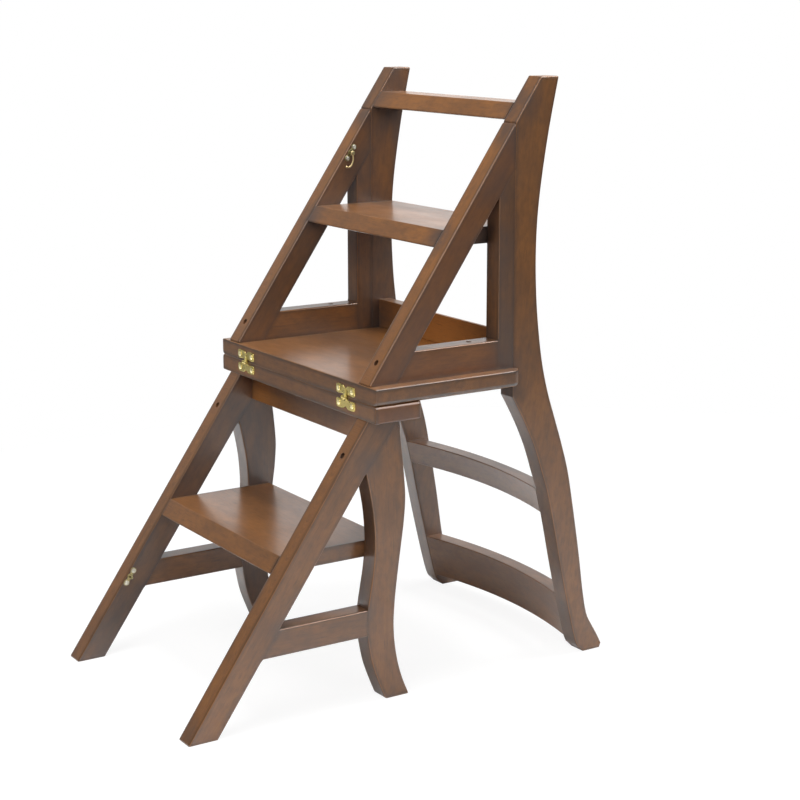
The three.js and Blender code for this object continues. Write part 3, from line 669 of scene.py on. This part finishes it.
SIDES = (("left", -1), ("right", 1))
MEMBER_SPANS = {"lower_unit": (LOWER_INNER, LOWER_OUTER), "upper_unit": (UPPER_INNER, UPPER_OUTER)}
STRINGER_DIRECTION = np.array([0.0, SLOPE, 1.0])
OUTWARD = np.array([0.0, -1.0, SLOPE]) / np.hypot(1, SLOPE)
SINK_RADIUS, SINK_DEPTH = 4.5, 5.0
LOWER_SCREW, UPPER_SCREW, RAIL_SCREW = LOWER_TOP - 49.1, UPPER_BASE + 31, UPRIGHT_FRONT - 42.6


def sunk_screws(sign):
    """The sunk screws of one side: the start of each one's name, the mouth of its recess, the
    direction out of the wood and its body."""
    lower, upper = sign * (LOWER_OUTER - MEMBER / 2), sign * (UPPER_OUTER - MEMBER / 2)
    return (
        ("lower_stringer_screw", (lower, lower_front(LOWER_SCREW), LOWER_SCREW), OUTWARD, "lower_unit"),
        ("upper_stringer_screw", (upper, upper_front(UPPER_SCREW), UPPER_SCREW), OUTWARD, "upper_unit"),
        ("side_rail_screw", (upper, RAIL_SCREW, UPPER_RAIL_TOP), UPWARD, "upper_unit"),
    )


def sinking(screw, sides=28):
    """A round recess with an eased mouth: rings about a line that leaves the wood, from below the
    recess's flat bottom to a flare just over the surface."""
    _, mouth, outward, _ = screw
    depth = np.array([-SINK_DEPTH, -0.5, 0.0, 0.6])[:, None, None]
    radius = SINK_RADIUS + np.array([0.0, 0.0, 0.35, 1.2])[:, None, None]
    return mouth + depth * outward + radius * circle(sides, ALONG_X, np.cross(outward, ALONG_X))


def side_member(name, sign, body, grain, outline, eases, corner=EASED, screw=None, shade_amount=1.0,
                opening=None, outer=0.0, tone=0.0):
    """A piece as wide as its unit's members, bored for its screw. Painted shade covers it as far as
    shade_amount says, its outer face outer times as much, and its colour is darker and redder by tone on
    that face."""
    rings = slab("side", outline, sorted(sign * x for x in MEMBER_SPANS[body]), eases, corner=corner)
    # Painted shade on the face towards the middle, on the outer face and inside the openings
    wooden(name, rings, body, grain, cutters=[sinking(screw)] if screw else (),
           shade=shade_amount * slab_shade(rings, sign, opening, outer), tone=tone * slab_shade(rings, -sign))


# Heights under which drawn edges give way to toes, heels and soles, how far under the unit's top the
# leg's rear edge ends, and how far extra points stand from a rail's end and an apex
TOE, HEEL, POST_SOLE, LEG_HEAD = 13.0, 7.0, 9.0, 6.0
BESIDE_RAIL, BESIDE_APEX = 4.0, 5.0

# Lower unit: stringers, sabre legs and side rails lie flush, so only their free edges are eased
for side, sign in SIDES:
    lower_screw, _, _ = sunk_screws(sign)
    heights = np.array([
        0, RAIL_BASE - BESIDE_RAIL, RAIL_BASE, RAIL_TOP, RAIL_TOP + BESIDE_RAIL, APEX - BESIDE_APEX, APEX,
        LOWER_TOP,
    ])
    back = edge_points(lower_back, heights)
    outline = np.vstack([[lower_front(0), 0], back, [lower_front(LOWER_TOP), LOWER_TOP]])
    eases = [SOLE, EASED, EASED, CLOSED, EASED, EASED, EASED, CLOSED, CLOSED, EASED]
    side_member(f"lower_stringer_{side}", sign, "lower_unit", STRINGER_DIRECTION, outline, eases,
                screw=lower_screw)

    above_toe = LEG_FORE_LINE[LEG_FORE_LINE[:, 1] > TOE]
    fore = np.vstack([LEG_FORE_LINE[:1], above_toe, [lower_back(APEX), APEX]])
    shoulder = edge_points(lower_back, np.linspace(APEX, LOWER_TOP, 13)[1:])
    rear = LEG_REAR_LINE[(LEG_REAR_LINE[:, 1] > HEEL) & (LEG_REAR_LINE[:, 1] < LOWER_TOP - LEG_HEAD)]
    outline = np.vstack([fore, shoulder, LEG_REAR_LINE[:1], rear, LEG_REAR_LINE[-1:]])
    middle = (outline + np.roll(outline, -1, axis=0))[:, 1] / 2
    eases = np.full(len(outline), EASED)
    on_rail = (middle > RAIL_BASE) & (middle < RAIL_TOP) & (np.arange(len(outline)) < len(fore))
    eases[on_rail] = JOINT
    eases[len(fore) - 1:len(fore) + len(shoulder)] = CLOSED
    eases[len(fore) + len(shoulder)] = JOINT
    eases[-1] = SOLE
    corners = np.full(len(outline), EASED)
    corners[0] = TOE_ROUND
    side_member(f"sabre_leg_{side}", sign, "lower_unit", UPWARD, outline, eases, corners,
                opening=lambda y, z: y < LEG_REACH / 2)

    rear = edge_points(lambda z: along(LEG_FORE_LINE, z), np.linspace(RAIL_BASE, RAIL_TOP, 7))
    outline = np.vstack([[lower_back(RAIL_BASE), RAIL_BASE], rear, [lower_back(RAIL_TOP), RAIL_TOP]])
    eases = [EASED] + [JOINT] * (len(rear) - 1) + [EASED, CLOSED]
    side_member(f"lower_side_rail_{side}", sign, "lower_unit", ALONG_Y, outline, eases, JOINT,
                shade_amount=0.2, outer=2.0)


def step(name, top, rear, front_at, inner, body, shaded_ends=0.0):
    """A tread whose front edge is flush with the stringers' slanted fronts. Painted shade covers its ends
    as far as shaded_ends says."""
    base = top - TREAD
    outline = [(front_at(base), base), (rear, base), (rear, top), (front_at(top), top)]
    rings = slab("side", outline, (-inner, inner), CLOSED, corner=BOARD_CORNER)
    # Painted shade on the tread's ends
    shade = shaded_ends * slab_shade(rings, 1, outer=1.0)
    wooden(name, rings, body, wood="board_wood", shade=shade)


def oblong(low, high, base, top):
    """Corners of a rectangle, anticlockwise from its lower left."""
    return [(low, base), (high, base), (high, top), (low, top)]


LOWER_TREAD_REAR = 52.0
UPPER_TREAD_REAR = along(POST_REAR_LINE, TREAD_TOPS[1])
TOP_STEP_REAR = along(POST_REAR_LINE, TREAD_TOPS[2] - TREAD)
step("lower_tread", TREAD_TOPS[0], LOWER_TREAD_REAR, lower_front, LOWER_INNER, "lower_unit")
step("upper_tread", TREAD_TOPS[1], UPPER_TREAD_REAR, upper_front, UPPER_INNER, "upper_unit", 1.2)
step("top_step", TREAD_TOPS[2], TOP_STEP_REAR, upper_front, UPPER_INNER, "upper_unit")

APRON_FRONT, APRON_REAR, APRON_BASE = 23.0, 45.0, LOWER_TOP - 43.5
apron = oblong(APRON_FRONT, APRON_REAR, APRON_BASE, LOWER_TOP)
wooden("lower_apron", slab("side", apron, (-LOWER_INNER, LOWER_INNER), CLOSED), "lower_unit")


def at_ends(rings):
    """True at the points of a seat board's two ends."""
    return np.abs(rings[..., 0]) > SEAT_HALF - 1


# Seat boards: their ends are rounded where they lie on each other, their front edges are not
board = oblong(-SEAT_HALF, SEAT_HALF, LOWER_TOP, SEAT_HEIGHT)
corners = [BOARD_CORNER, BOARD_CORNER, ROUNDED_END, ROUNDED_END]
rings = slab("front", board, (0, BOARD_DEPTH), 1.0, EASED, corner=corners)
wooden("lower_seat_board", rings, "lower_unit", wood="board_wood", tone=0.45 * at_ends(rings))

NOTCH_OUTER, NOTCH_INNER = UPPER_OUTER + 0.3, UPPER_INNER - 0.3
TURN = SEAT_HALF - NOTCH_OUTER
SHOULDER = POST_FRONT + 5.0
TONGUE = REAR_RAIL_FRONT + REAR_RAIL_DEPTH
quarter = np.linspace(0, np.pi / 2, 13)
round_corner = TURN * np.stack([np.cos(quarter), np.sin(quarter)], axis=1) + [NOTCH_OUTER, SHOULDER - TURN]
half = np.vstack([
    [SEAT_HALF - ROUNDED_END - 2, 0], [SEAT_HALF, 0], round_corner,
    [NOTCH_OUTER, POST_FRONT], [NOTCH_INNER, POST_FRONT], [NOTCH_INNER, TONGUE],
])
plan = np.vstack([half, half[::-1] * [-1, 1]])
notch = 1 + len(quarter)
notch_end = len(plan) - 1 - notch
under_ease = np.full(len(plan), 0.8)
under_ease[1:notch] = under_ease[notch_end:-2] = ROUNDED_END
top_ease = np.full(len(plan), EASED)
under_ease[notch:notch_end] = top_ease[notch:notch_end] = CLOSED
corners = np.full(len(plan), 1.6)
corners[[notch, notch_end]] = 0.3
rings = slab("plan", plan, (SEAT_HEIGHT, UPPER_BASE), under_ease, top_ease, corners)
# Painted shade on the seat board's ends
wooden("upper_seat_board", rings, "upper_unit", wood="board_wood", shade=0.25 * at_ends(rings))

# Upper unit: how far the painted shade keeps from a post's rear edge, where its sole and neck end, its
# corners
FORE_MARGIN, SOLE_REAR, SOLE_FORE, NECK, POST_CORNER = 20.0, 3.0, 36.5, 4.0, 2.6
UPRIGHT_TOP, STRINGER_TOP = upper_height(POST_FRONT - RUN), upper_height(POST_FRONT)
for side, sign in SIDES:
    _, upper_screw, rail_screw = sunk_screws(sign)
    heights = np.array([
        UPPER_BASE, UPPER_RAIL_TOP, UPPER_RAIL_TOP + BESIDE_RAIL, MEETING - BESIDE_APEX, MEETING,
        UPRIGHT_TOP,
    ])
    back = edge_points(upper_back, heights)
    outline = np.vstack([[upper_front(UPPER_BASE), UPPER_BASE], back, [POST_FRONT, STRINGER_TOP]])
    eases = [CLOSED, CLOSED, EASED, EASED, EASED, CLOSED, JOINT, EASED]
    side_member(f"upper_stringer_{side}", sign, "upper_unit", STRINGER_DIRECTION, outline, eases,
                screw=upper_screw, shade_amount=0.5, outer=0.7, tone=0.3)

    outline = [
        (upper_back(UPPER_BASE), UPPER_BASE), (UPRIGHT_FRONT, UPPER_BASE),
        (UPRIGHT_FRONT, UPPER_RAIL_TOP), (upper_back(UPPER_RAIL_TOP), UPPER_RAIL_TOP),
    ]
    side_member(f"upper_side_rail_{side}", sign, "upper_unit", ALONG_Y, outline,
                [CLOSED, CLOSED, EASED, CLOSED], JOINT, screw=rail_screw, shade_amount=0.15, tone=0.3)

    heights = [MEETING, MEETING - BESIDE_APEX, UPPER_RAIL_TOP + BESIDE_RAIL, UPPER_RAIL_TOP]
    outline = [(UPRIGHT_FRONT, UPPER_BASE), (POST_FRONT, UPPER_BASE), (POST_FRONT, UPRIGHT_TOP)]
    outline += [(UPRIGHT_FRONT, height) for height in heights]
    eases = [CLOSED, JOINT, CLOSED, EASED, EASED, EASED, CLOSED]
    side_member(f"upright_{side}", sign, "upper_unit", UPWARD, outline, eases, JOINT,
                shade_amount=0.25, outer=3.0, opening=lambda y, z: y < (UPRIGHT_FRONT + POST_FRONT) / 2)

    start = [[POST_FRONT, STRINGER_TOP], [upper_front(LADDER_HEIGHT), LADDER_HEIGHT]]
    sole = [[POST_FRONT + POST_REACH - setback, 0] for setback in (SOLE_REAR, SOLE_FORE)]
    neck = [[POST_FRONT, SEAT_HEIGHT - NECK], [POST_FRONT, SEAT_HEIGHT]]
    above_sole = POST_FORE_LINE[POST_FORE_LINE[:, 1] > POST_SOLE]
    outline = np.vstack([start, POST_REAR_LINE, sole, above_sole, neck])
    eases = np.full(len(outline), EASED)
    eases[len(start) + len(POST_REAR_LINE)] = SOLE
    eases[-1] = JOINT
    side_member(
        f"back_post_{side}", sign, "upper_unit", (0, 0.12, 1), outline, eases, POST_CORNER, shade_amount=0.6,
        opening=lambda y, z: 1.3 * ((z < LOWER_TOP) & (y < along(POST_REAR_LINE, z) - FORE_MARGIN)),
    )

BOW, BOW_DEPTH, BOW_STEPS = 23.0, 30.0, 49


def bowed_rail(name, top, height, rear_bow, shaded_top):
    """A rail that leans with the posts: an eased section carried across, whose front and back are bowed to
    the rear by bow * (1 - t^2) with t from -1 to 1. Painted shade covers its top as far as shaded_top
    says."""
    base = top - height
    front_top, front_base = along(POST_FORE_LINE, top) + 0.5, along(POST_FORE_LINE, base) + 0.5
    t = np.linspace(-1, 1, BOW_STEPS)[:, None]
    section = np.array([(0, 0), (1, 0), (1, 1), (0, 1)]) * [BOW_DEPTH, height]
    points, _, _ = softened(section, 0, 2.0)
    depth, rise = points[:, 0], points[:, 1]
    lean = front_base + (front_top - front_base) * rise / height
    y = lean + depth + (1 - t**2) * (BOW + (rear_bow - BOW) * (depth / BOW_DEPTH))
    rings = np.stack([t * UPPER_INNER + 0 * y, y, base + rise + 0 * y], axis=2)
    # Painted shade on the rail's top, which lies under the seat
    wooden(name, rings, "upper_unit", edge=0.0, shade=shaded_top * (rings[..., 2] > top - 0.5))


bowed_rail("mid_back_rail", top=275.5, height=40.0, rear_bow=19.0, shaded_top=1.0)
bowed_rail("crest_rail", top=96.0, height=75.0, rear_bow=20.0, shaded_top=0.6)


def rear_rail(height, edge, bevel, end):
    """The rear seat rail: an eased section, whole for a length at both ends and bevelled between
    them, where its points above the line from the back to the given width at the top drop to it."""
    thick = REAR_RAIL_DEPTH
    corners = [(0, 0), (thick, 0), (thick, height - bevel), (thick, height), (edge, height), (0, height)]
    whole, _, _ = softened(corners, 0, 1.6)
    line = height - bevel * (whole[:, 0] - edge) / (thick - edge)
    bevelled = np.stack([whole[:, 0], np.minimum(whole[:, 1], line)], axis=1)
    inner = UPPER_INNER - end
    stations = np.array([-UPPER_INNER, -inner - 0.3, -inner + 0.3, inner - 0.3, inner + 0.3, UPPER_INNER])
    sections = np.stack([whole, whole, bevelled, bevelled, whole, whole])
    x = np.repeat(stations[:, None], len(whole), axis=1)
    return np.stack([x, REAR_RAIL_FRONT + sections[:, :, 0], UPPER_BASE + sections[:, :, 1]], axis=2)


rear = rear_rail(height=47.5, edge=5.0, bevel=20.0, end=62.0)
wooden("rear_seat_rail", rear, "upper_unit", edge=0.0)

# Brass butterfly hinges
HINGE_PLACES = (("left", -154.0), ("right", 154.0))
PIN_SETBACK, PIN_RADIUS, PIN_HALF = 3.0, 1.2, 6.3
LEAF, KNUCKLE, HALF_WIDTH, NEAR, LEAF_HEIGHT = 1.4, 2.7, 26.0, 3.7, 14.0
FAR = NEAR + LEAF_HEIGHT
SCREW_OUT, SCREW_RADIUS, SCREW_RISE = 18.8, 3.9, 1.5
LEAVES = (
    ("upper", 1, [(-3.3, 3.3)]),
    ("lower", -1, [(-6.1, -3.6), (3.6, 6.1)]),
)


def leaf_outline(up):
    """Two rounded lobes with a shallow notch between them, symmetric across; up is 1 or -1."""
    right = [
        (4.2, NEAR - 0.8), (7, NEAR + 0.6), (11, NEAR + 0.6), (21, NEAR), (24.8, NEAR + 1.3),
        (HALF_WIDTH, NEAR + 5), (HALF_WIDTH, FAR - 5), (24.6, FAR - 1.2), (21, FAR), (9.5, FAR),
        (6, FAR - 0.7), (3.6, FAR - 2.4), (1.6, FAR - 3.9),
    ]
    half_line = curve(right, 3)
    return np.vstack([half_line, half_line[::-1] * [-1, 1]]) * [1, up] + [0, SEAT_HEIGHT]


def swelling(centre, up, reach):
    """The raised middle of a leaf, from its knuckle outwards: half ellipses whose height falls as
    (1 - t)^0.4 and whose half width narrows evenly from 3.1 to 2.4 as t goes from 0 to 1."""
    t = np.linspace(0, 1, 9)[:, None]
    angle = np.linspace(0, np.pi, 15)[None, :]
    width, height = 3.1 - 0.7 * t, 0.5 + LEAF + 2.4 * (1 - t) ** 0.4
    z = SEAT_HEIGHT + up * (0.4 + t * reach) + 0 * angle
    return np.stack([centre + width * np.cos(angle), -height * np.sin(angle), z], axis=2)


def rod(start, end, radius, ease=0.5):
    """A round bar with eased ends on the line of the hinge pins."""
    q = np.linspace(0, np.pi / 2, 4)
    near = np.stack([start + ease * (1 - np.cos(q)), radius - ease * (1 - np.sin(q))], axis=1)
    far = near[::-1] * [-1, 1] + [start + end, 0]
    return turned(np.vstack([near, far]), (0, -PIN_SETBACK, SEAT_HEIGHT))


def domed_head(place, radius, rise, depth, facing="front"):
    """A screw head that faces the front or the right. Its height is rise * sqrt(1 - 0.8 r^2), less
    a cross recess, deep where either arm is near and fading towards the rim."""
    r = np.array([0.0, 0.12, 0.24, 0.36, 0.48, 0.6, 0.74, 0.87, 0.96, 1.0, 1.0])[:, None]
    angle = round_about(40)[None, :] + 0.5
    within = np.minimum(np.abs(np.sin(angle)), np.abs(np.cos(angle))) * r
    within = np.clip((0.16 - within) / 0.08, 0, 1) * np.clip((0.66 - r) / 0.1, 0, 1)
    height = rise * np.sqrt(1 - 0.8 * r**2) - depth * rise * within
    height[-1] = 0
    out = radius * np.maximum(r, 0.02)
    across, up = out * np.cos(angle), out * np.sin(angle)
    parts = [across, -height, up] if facing == "front" else [height, across, up]
    return np.stack(parts, axis=2) + place


def metal_piece(name, skins, body, metal="brass", painted_shine=0.0):
    """A metal piece that stands for the CAD node of its name, with or without a brighter colour painted on
    as its highlight.
    """
    piece = mesh_object(f"{name}_metal", skins, shade=painted_shine)
    place_piece(piece, name, METALS[metal], body)


for side, centre in HINGE_PLACES:
    for part, up, knuckles in LEAVES:
        outline = leaf_outline(up) + [centre, 0]
        skins = [slab("front", outline, (-LEAF, 0), 0.55, 0.02, corner=0.4, bordered=False)]
        base, top = SEAT_HEIGHT, SEAT_HEIGHT + up * (NEAR + 1)
        neck = [(-LEAF - 0.9, base), (0, base), (0, top), (-LEAF - 0.1, top)]
        for reach in knuckles:
            span = centre + np.array(reach)
            skins.append(rod(*span, KNUCKLE))
            skins.append(slab("side", neck, span, 0.2, corner=0.3, bordered=False))
        if part == "upper":
            skins.append(swelling(centre, up, 12.0))
        metal_piece(f"hinge_leaf_{part}_{side}", skins, f"{part}_unit")
    pin = rod(centre - PIN_HALF, centre + PIN_HALF, PIN_RADIUS, 0.25)
    metal_piece(f"hinge_pin_{side}", [pin], "lower_unit")

for part, up, _ in LEAVES:
    level = SEAT_HEIGHT + up * (NEAR + LEAF_HEIGHT / 2)
    places = [centre + way * SCREW_OUT for _, centre in HINGE_PLACES for way in (-1, 1)]
    for number, x in enumerate(places, 1):
        head = domed_head((x, -LEAF, level), SCREW_RADIUS, SCREW_RISE, depth=0.5)
        # Painted highlight: the whole screw head takes the brighter colour for its shine
        metal_piece(f"hinge_screw_{part}_{number}", [head], f"{part}_unit", painted_shine=1.0)

# Hook on the left upper stringer and its catch on the left lower stringer
REACH = 21.0
PIVOT_Z = LADDER_HEIGHT - 135.8
PIVOT = np.array([-UPPER_INNER, upper_front(PIVOT_Z) + 9.0, PIVOT_Z])
CATCH_ANGLE = np.radians(-29)
STUD = np.array([
    -LOWER_INNER,
    -2 * PIN_SETBACK - PIVOT[1] + REACH * np.cos(CATCH_ANGLE),
    LADDER_HEIGHT - PIVOT[2] + REACH * np.sin(CATCH_ANGLE),
])
PLATE, LOBE, LOBE_OUT, BOSS, WAIST = 1.5, 5.0, 11.0, 4.6, 2.8
BALL = 2.1
HOOK_PLANE = -LOWER_INNER + PLATE + 0.3 + BALL
ALONG = STRINGER_DIRECTION / np.linalg.norm(STRINGER_DIRECTION)


def plate_rings(centre):
    """A plate with two round lobes and a boss between them. Its half width at s along it is the
    sixth root of the sum of the sixth powers of the lobes', the boss's and the waist's."""
    turn = round_about(64) + 0.02
    s = (LOBE + LOBE_OUT) * np.cos(turn)
    lobe = np.sqrt(np.maximum(LOBE**2 - (np.abs(s) - LOBE_OUT) ** 2, 0))
    boss = np.sqrt(np.maximum(BOSS**2 - s**2, 0))
    waist = WAIST * (np.abs(s) < LOBE_OUT)
    w = (lobe**6 + boss**6 + waist**6) ** (1 / 6) * np.sign(np.sin(turn))
    lengthwise, crosswise = ALONG[1:], np.array([ALONG[2], -ALONG[1]])
    outline = s[:, None] * lengthwise + w[:, None] * crosswise + centre[1:]
    return slab("side", outline, (centre[0], centre[0] + PLATE), 0.02, 0.45, corner=0.3, bordered=False)


collar = HOOK_PLANE - 1.5 - 0.3 - (PIVOT[0] + PLATE)
spindle = [
    (0, 3.2), (collar - 0.4, 3.2), (collar, 2.8), (collar, 1.6), (collar + 3.6, 1.6),
    (collar + 3.6, 2.9), (collar + 3.9, 3.2), (collar + 4.3, 2.9), (collar + 4.6, 1.8),
]
stud = [(0, 2.6), (0.8, 2.2), (1.4, 2.0), (6.4, 2.0), (7.4, 1.95), (8.1, 1.5), (8.5, 0.7)]
PLATES = (("hook_plate", PIVOT, spindle, "upper_unit"), ("catch_plate", STUD, stud, "lower_unit"))
for label, centre, profile, body in PLATES:
    skins = [plate_rings(centre), turned(profile, centre + PLATE * ALONG_X)]
    metal_piece(label, skins, body, "pale_brass")
for label, centre, _, body in PLATES:
    for number, way in ((1, -1), (2, 1)):
        place = centre + way * LOBE_OUT * ALONG + PLATE * ALONG_X
        head = domed_head(place, radius=3.6, rise=1.6, depth=0.5, facing="right")
        # Painted highlight: the whole screw head takes the brighter colour for its shine
        metal_piece(f"{label}_screw_{number}", [head], body, "pale_brass", painted_shine=1.0)

HOOK_ROUTE = [
    (-0.02, -0.13), (0.03, -0.3), (0.03, -0.5), (-0.02, -0.7), (-0.14, -0.93), (-0.29, -1.06),
    (-0.45, -1.09), (-0.58, -1.06),
]
route = curve(HOOK_ROUTE, 5) * REACH + PIVOT[1:]
path = np.column_stack([np.full(len(route), HOOK_PLANE), route])
thickness = np.interp(np.linspace(0, 1, len(path)), [0, 0.3, 1], [1.35, 1.6, 1.35])
lift = np.linspace(0.04, np.pi - 0.04, 13)
ball = turned(BALL * np.stack([-np.cos(lift), np.sin(lift)], axis=1), path[-1], sides=20)
eye = hoop((HOOK_PLANE, PIVOT[1], PIVOT[2]), 2.75, 1.7, 3.0)
metal_piece("hook", [tube(path, thickness), ball, eye], "hook", "hook_brass")

# Dark screw heads at the bottoms of their sinkings, turned to face out of the wood
for side, sign in SIDES:
    for label, mouth, outward, body in sunk_screws(sign):
        axes = np.stack([ALONG_X, -outward, np.cross(ALONG_X, -outward)])
        head = domed_head((0, 0, 0), radius=3.6, rise=2.0, depth=0.75) @ axes
        metal_piece(f"{label}_{side}", [head + mouth - SINK_DEPTH * outward], body, "steel")

# Studio: a white floor, a white backdrop beyond it and a dim room round them
scene = bpy.context.scene
scene.view_settings.view_transform = "Standard"
BACKDROP, PANEL, FOREGROUND = (-0.842, 0.539, 0.0), (0.6, 0.53, 0.599), (0.53, -0.83, -0.17)
ROOM, CEILING = 0.09, 0.12
BACKDROP_WHITE, PANEL_WHITE, FOREGROUND_WHITE = 1.22, 9, 0.7

world = bpy.data.worlds.new("studio")
scene.world = world
world.use_nodes = True
tree = world.node_tree
way = fed_node(tree, "TexCoord", {}).outputs["Generated"]
facing = [
    vector_worked(tree, "DOT_PRODUCT", way, direction, result="Value")
    for direction in (BACKDROP, PANEL, FOREGROUND)
]
height = fed_node(tree, "SeparateXYZ", {0: way}).outputs["Z"]
on_backdrop = multiply(tree, spread(tree, facing[0], 0.45, 0.75), spread(tree, height, 0.3, 0.55, 1, 0))
bright = either(
    tree, multiply(tree, on_backdrop, BACKDROP_WHITE),
    spread(tree, facing[1], 0.88, 0.95, 0, PANEL_WHITE),
    spread(tree, facing[2], 0.78, 0.92, 0, FOREGROUND_WHITE),
)
rays = fed_node(tree, "LightPath", {}).outputs
mirrored = multiply(tree, either(tree, rays["Is Glossy Ray"], rays["Is Transmission Ray"]), bright)
overhead = spread(tree, height, 0.45, 1, ROOM, CEILING)
background = tree.nodes["Background"].inputs
feed(tree, background["Color"], (1, 1, 1, 1))
feed(tree, background["Strength"], either(tree, rays["Is Camera Ray"], mirrored, overhead))

FLOOR_RADIUS, FLOOR_PLACE = 1.9, (0.35, 0.28, 0)
FLOOR_GREY, FLOOR_WHITE, FLOOR_MIRRORED = (0.3, 0.3, 0.3, 1), (0.08, 0.08, 0.08, 1), (0.98, 0.98, 0.98, 1)
rim = FLOOR_RADIUS * circle(96, ALONG_X, ALONG_Y) + FLOOR_PLACE
floor_mesh = bpy.data.meshes.new("floor")
floor_mesh.from_pydata(rim.tolist(), [], [list(range(len(rim)))])
floor = bpy.data.objects.new("floor", floor_mesh)
scene.collection.objects.link(floor)
floor_material = bpy.data.materials.new("floor_white")
floor_material.use_nodes = True
tree = floor_material.node_tree
grey = tree.nodes["Principled BSDF"]
for label, value in (("Base Color", FLOOR_GREY), ("Roughness", 0.9), ("Specular IOR Level", 0.0)):
    feed(tree, grey.inputs[label], value)
rays = fed_node(tree, "LightPath", {}).outputs
camera_ray = rays["Is Camera Ray"]
glow = fed_node(tree, "Emission", {"Strength": multiply(tree, camera_ray, 0.9)}).outputs[0]
lit = blend_colour(tree, camera_ray, FLOOR_MIRRORED, FLOOR_WHITE)
lit = fed_node(tree, "BsdfDiffuse", {"Color": lit}).outputs[0]
twice = fed_node(tree, "AddShader", {0: lit, 1: lit}).outputs[0]
both = fed_node(tree, "AddShader", {0: glow, 1: twice}).outputs[0]
seen = either(tree, camera_ray, rays["Is Glossy Ray"], rays["Is Transmission Ray"])
mix = fed_node(tree, "MixShader", {0: seen, 1: grey.outputs[0], 2: both})
feed(tree, tree.nodes["Material Output"].inputs["Surface"], mix.outputs[0])
floor.data.materials.append(floor_material)

# Square soft lights that look at the chair's middle: direction to each, distance, size and power
MIDDLE = Vector((0, 0, 0.45))
for name, towards, distance, size, power in (
    ("key", (0.35, -0.6, 0.75), 2.4, 1.4, 38),
    ("top", (0.0, 0.12, 1.0), 2.4, 0.9, 40),
    ("rear", (0.2, 0.53, 0.82), 3.2, 0.7, 24),
    ("side", (0.95, 0.1, 0.3), 3.0, 1.2, 11.5),
):
    data = bpy.data.lights.new(name, "AREA")
    data.shape, data.size, data.energy = "SQUARE", size, power
    light = bpy.data.objects.new(name, data)
    away = Vector(towards).normalized()
    light.location = MIDDLE + distance * away
    light.rotation_euler = away.to_track_quat("Z", "Y").to_euler()
    scene.collection.objects.link(light)

# Camera at the photograph's angle
SENSOR, LENS = 36, 80.435
AZIMUTH, ELEVATION, ROLL = np.radians([57.15, 12.743, -0.055])
CAMERA_PLACE = (2.3393, -1.3170 + SHIFT[1] * METRE, 1.0293)
data = bpy.data.cameras.new("camera")
data.sensor_width, data.lens = SENSOR, LENS
camera = bpy.data.objects.new("camera", data)
scene.collection.objects.link(camera)
level = np.cos(ELEVATION)
back = Vector((np.sin(AZIMUTH) * level, -np.cos(AZIMUTH) * level, np.sin(ELEVATION)))
right = Vector((np.cos(AZIMUTH), np.sin(AZIMUTH), 0))
up = back.cross(right)
right, up = right * np.cos(ROLL) + up * np.sin(ROLL), up * np.cos(ROLL) - right * np.sin(ROLL)
turn = Matrix((right, up, back)).transposed().to_4x4()
camera.matrix_world = Matrix.Translation(CAMERA_PLACE) @ turn
scene.camera = camera
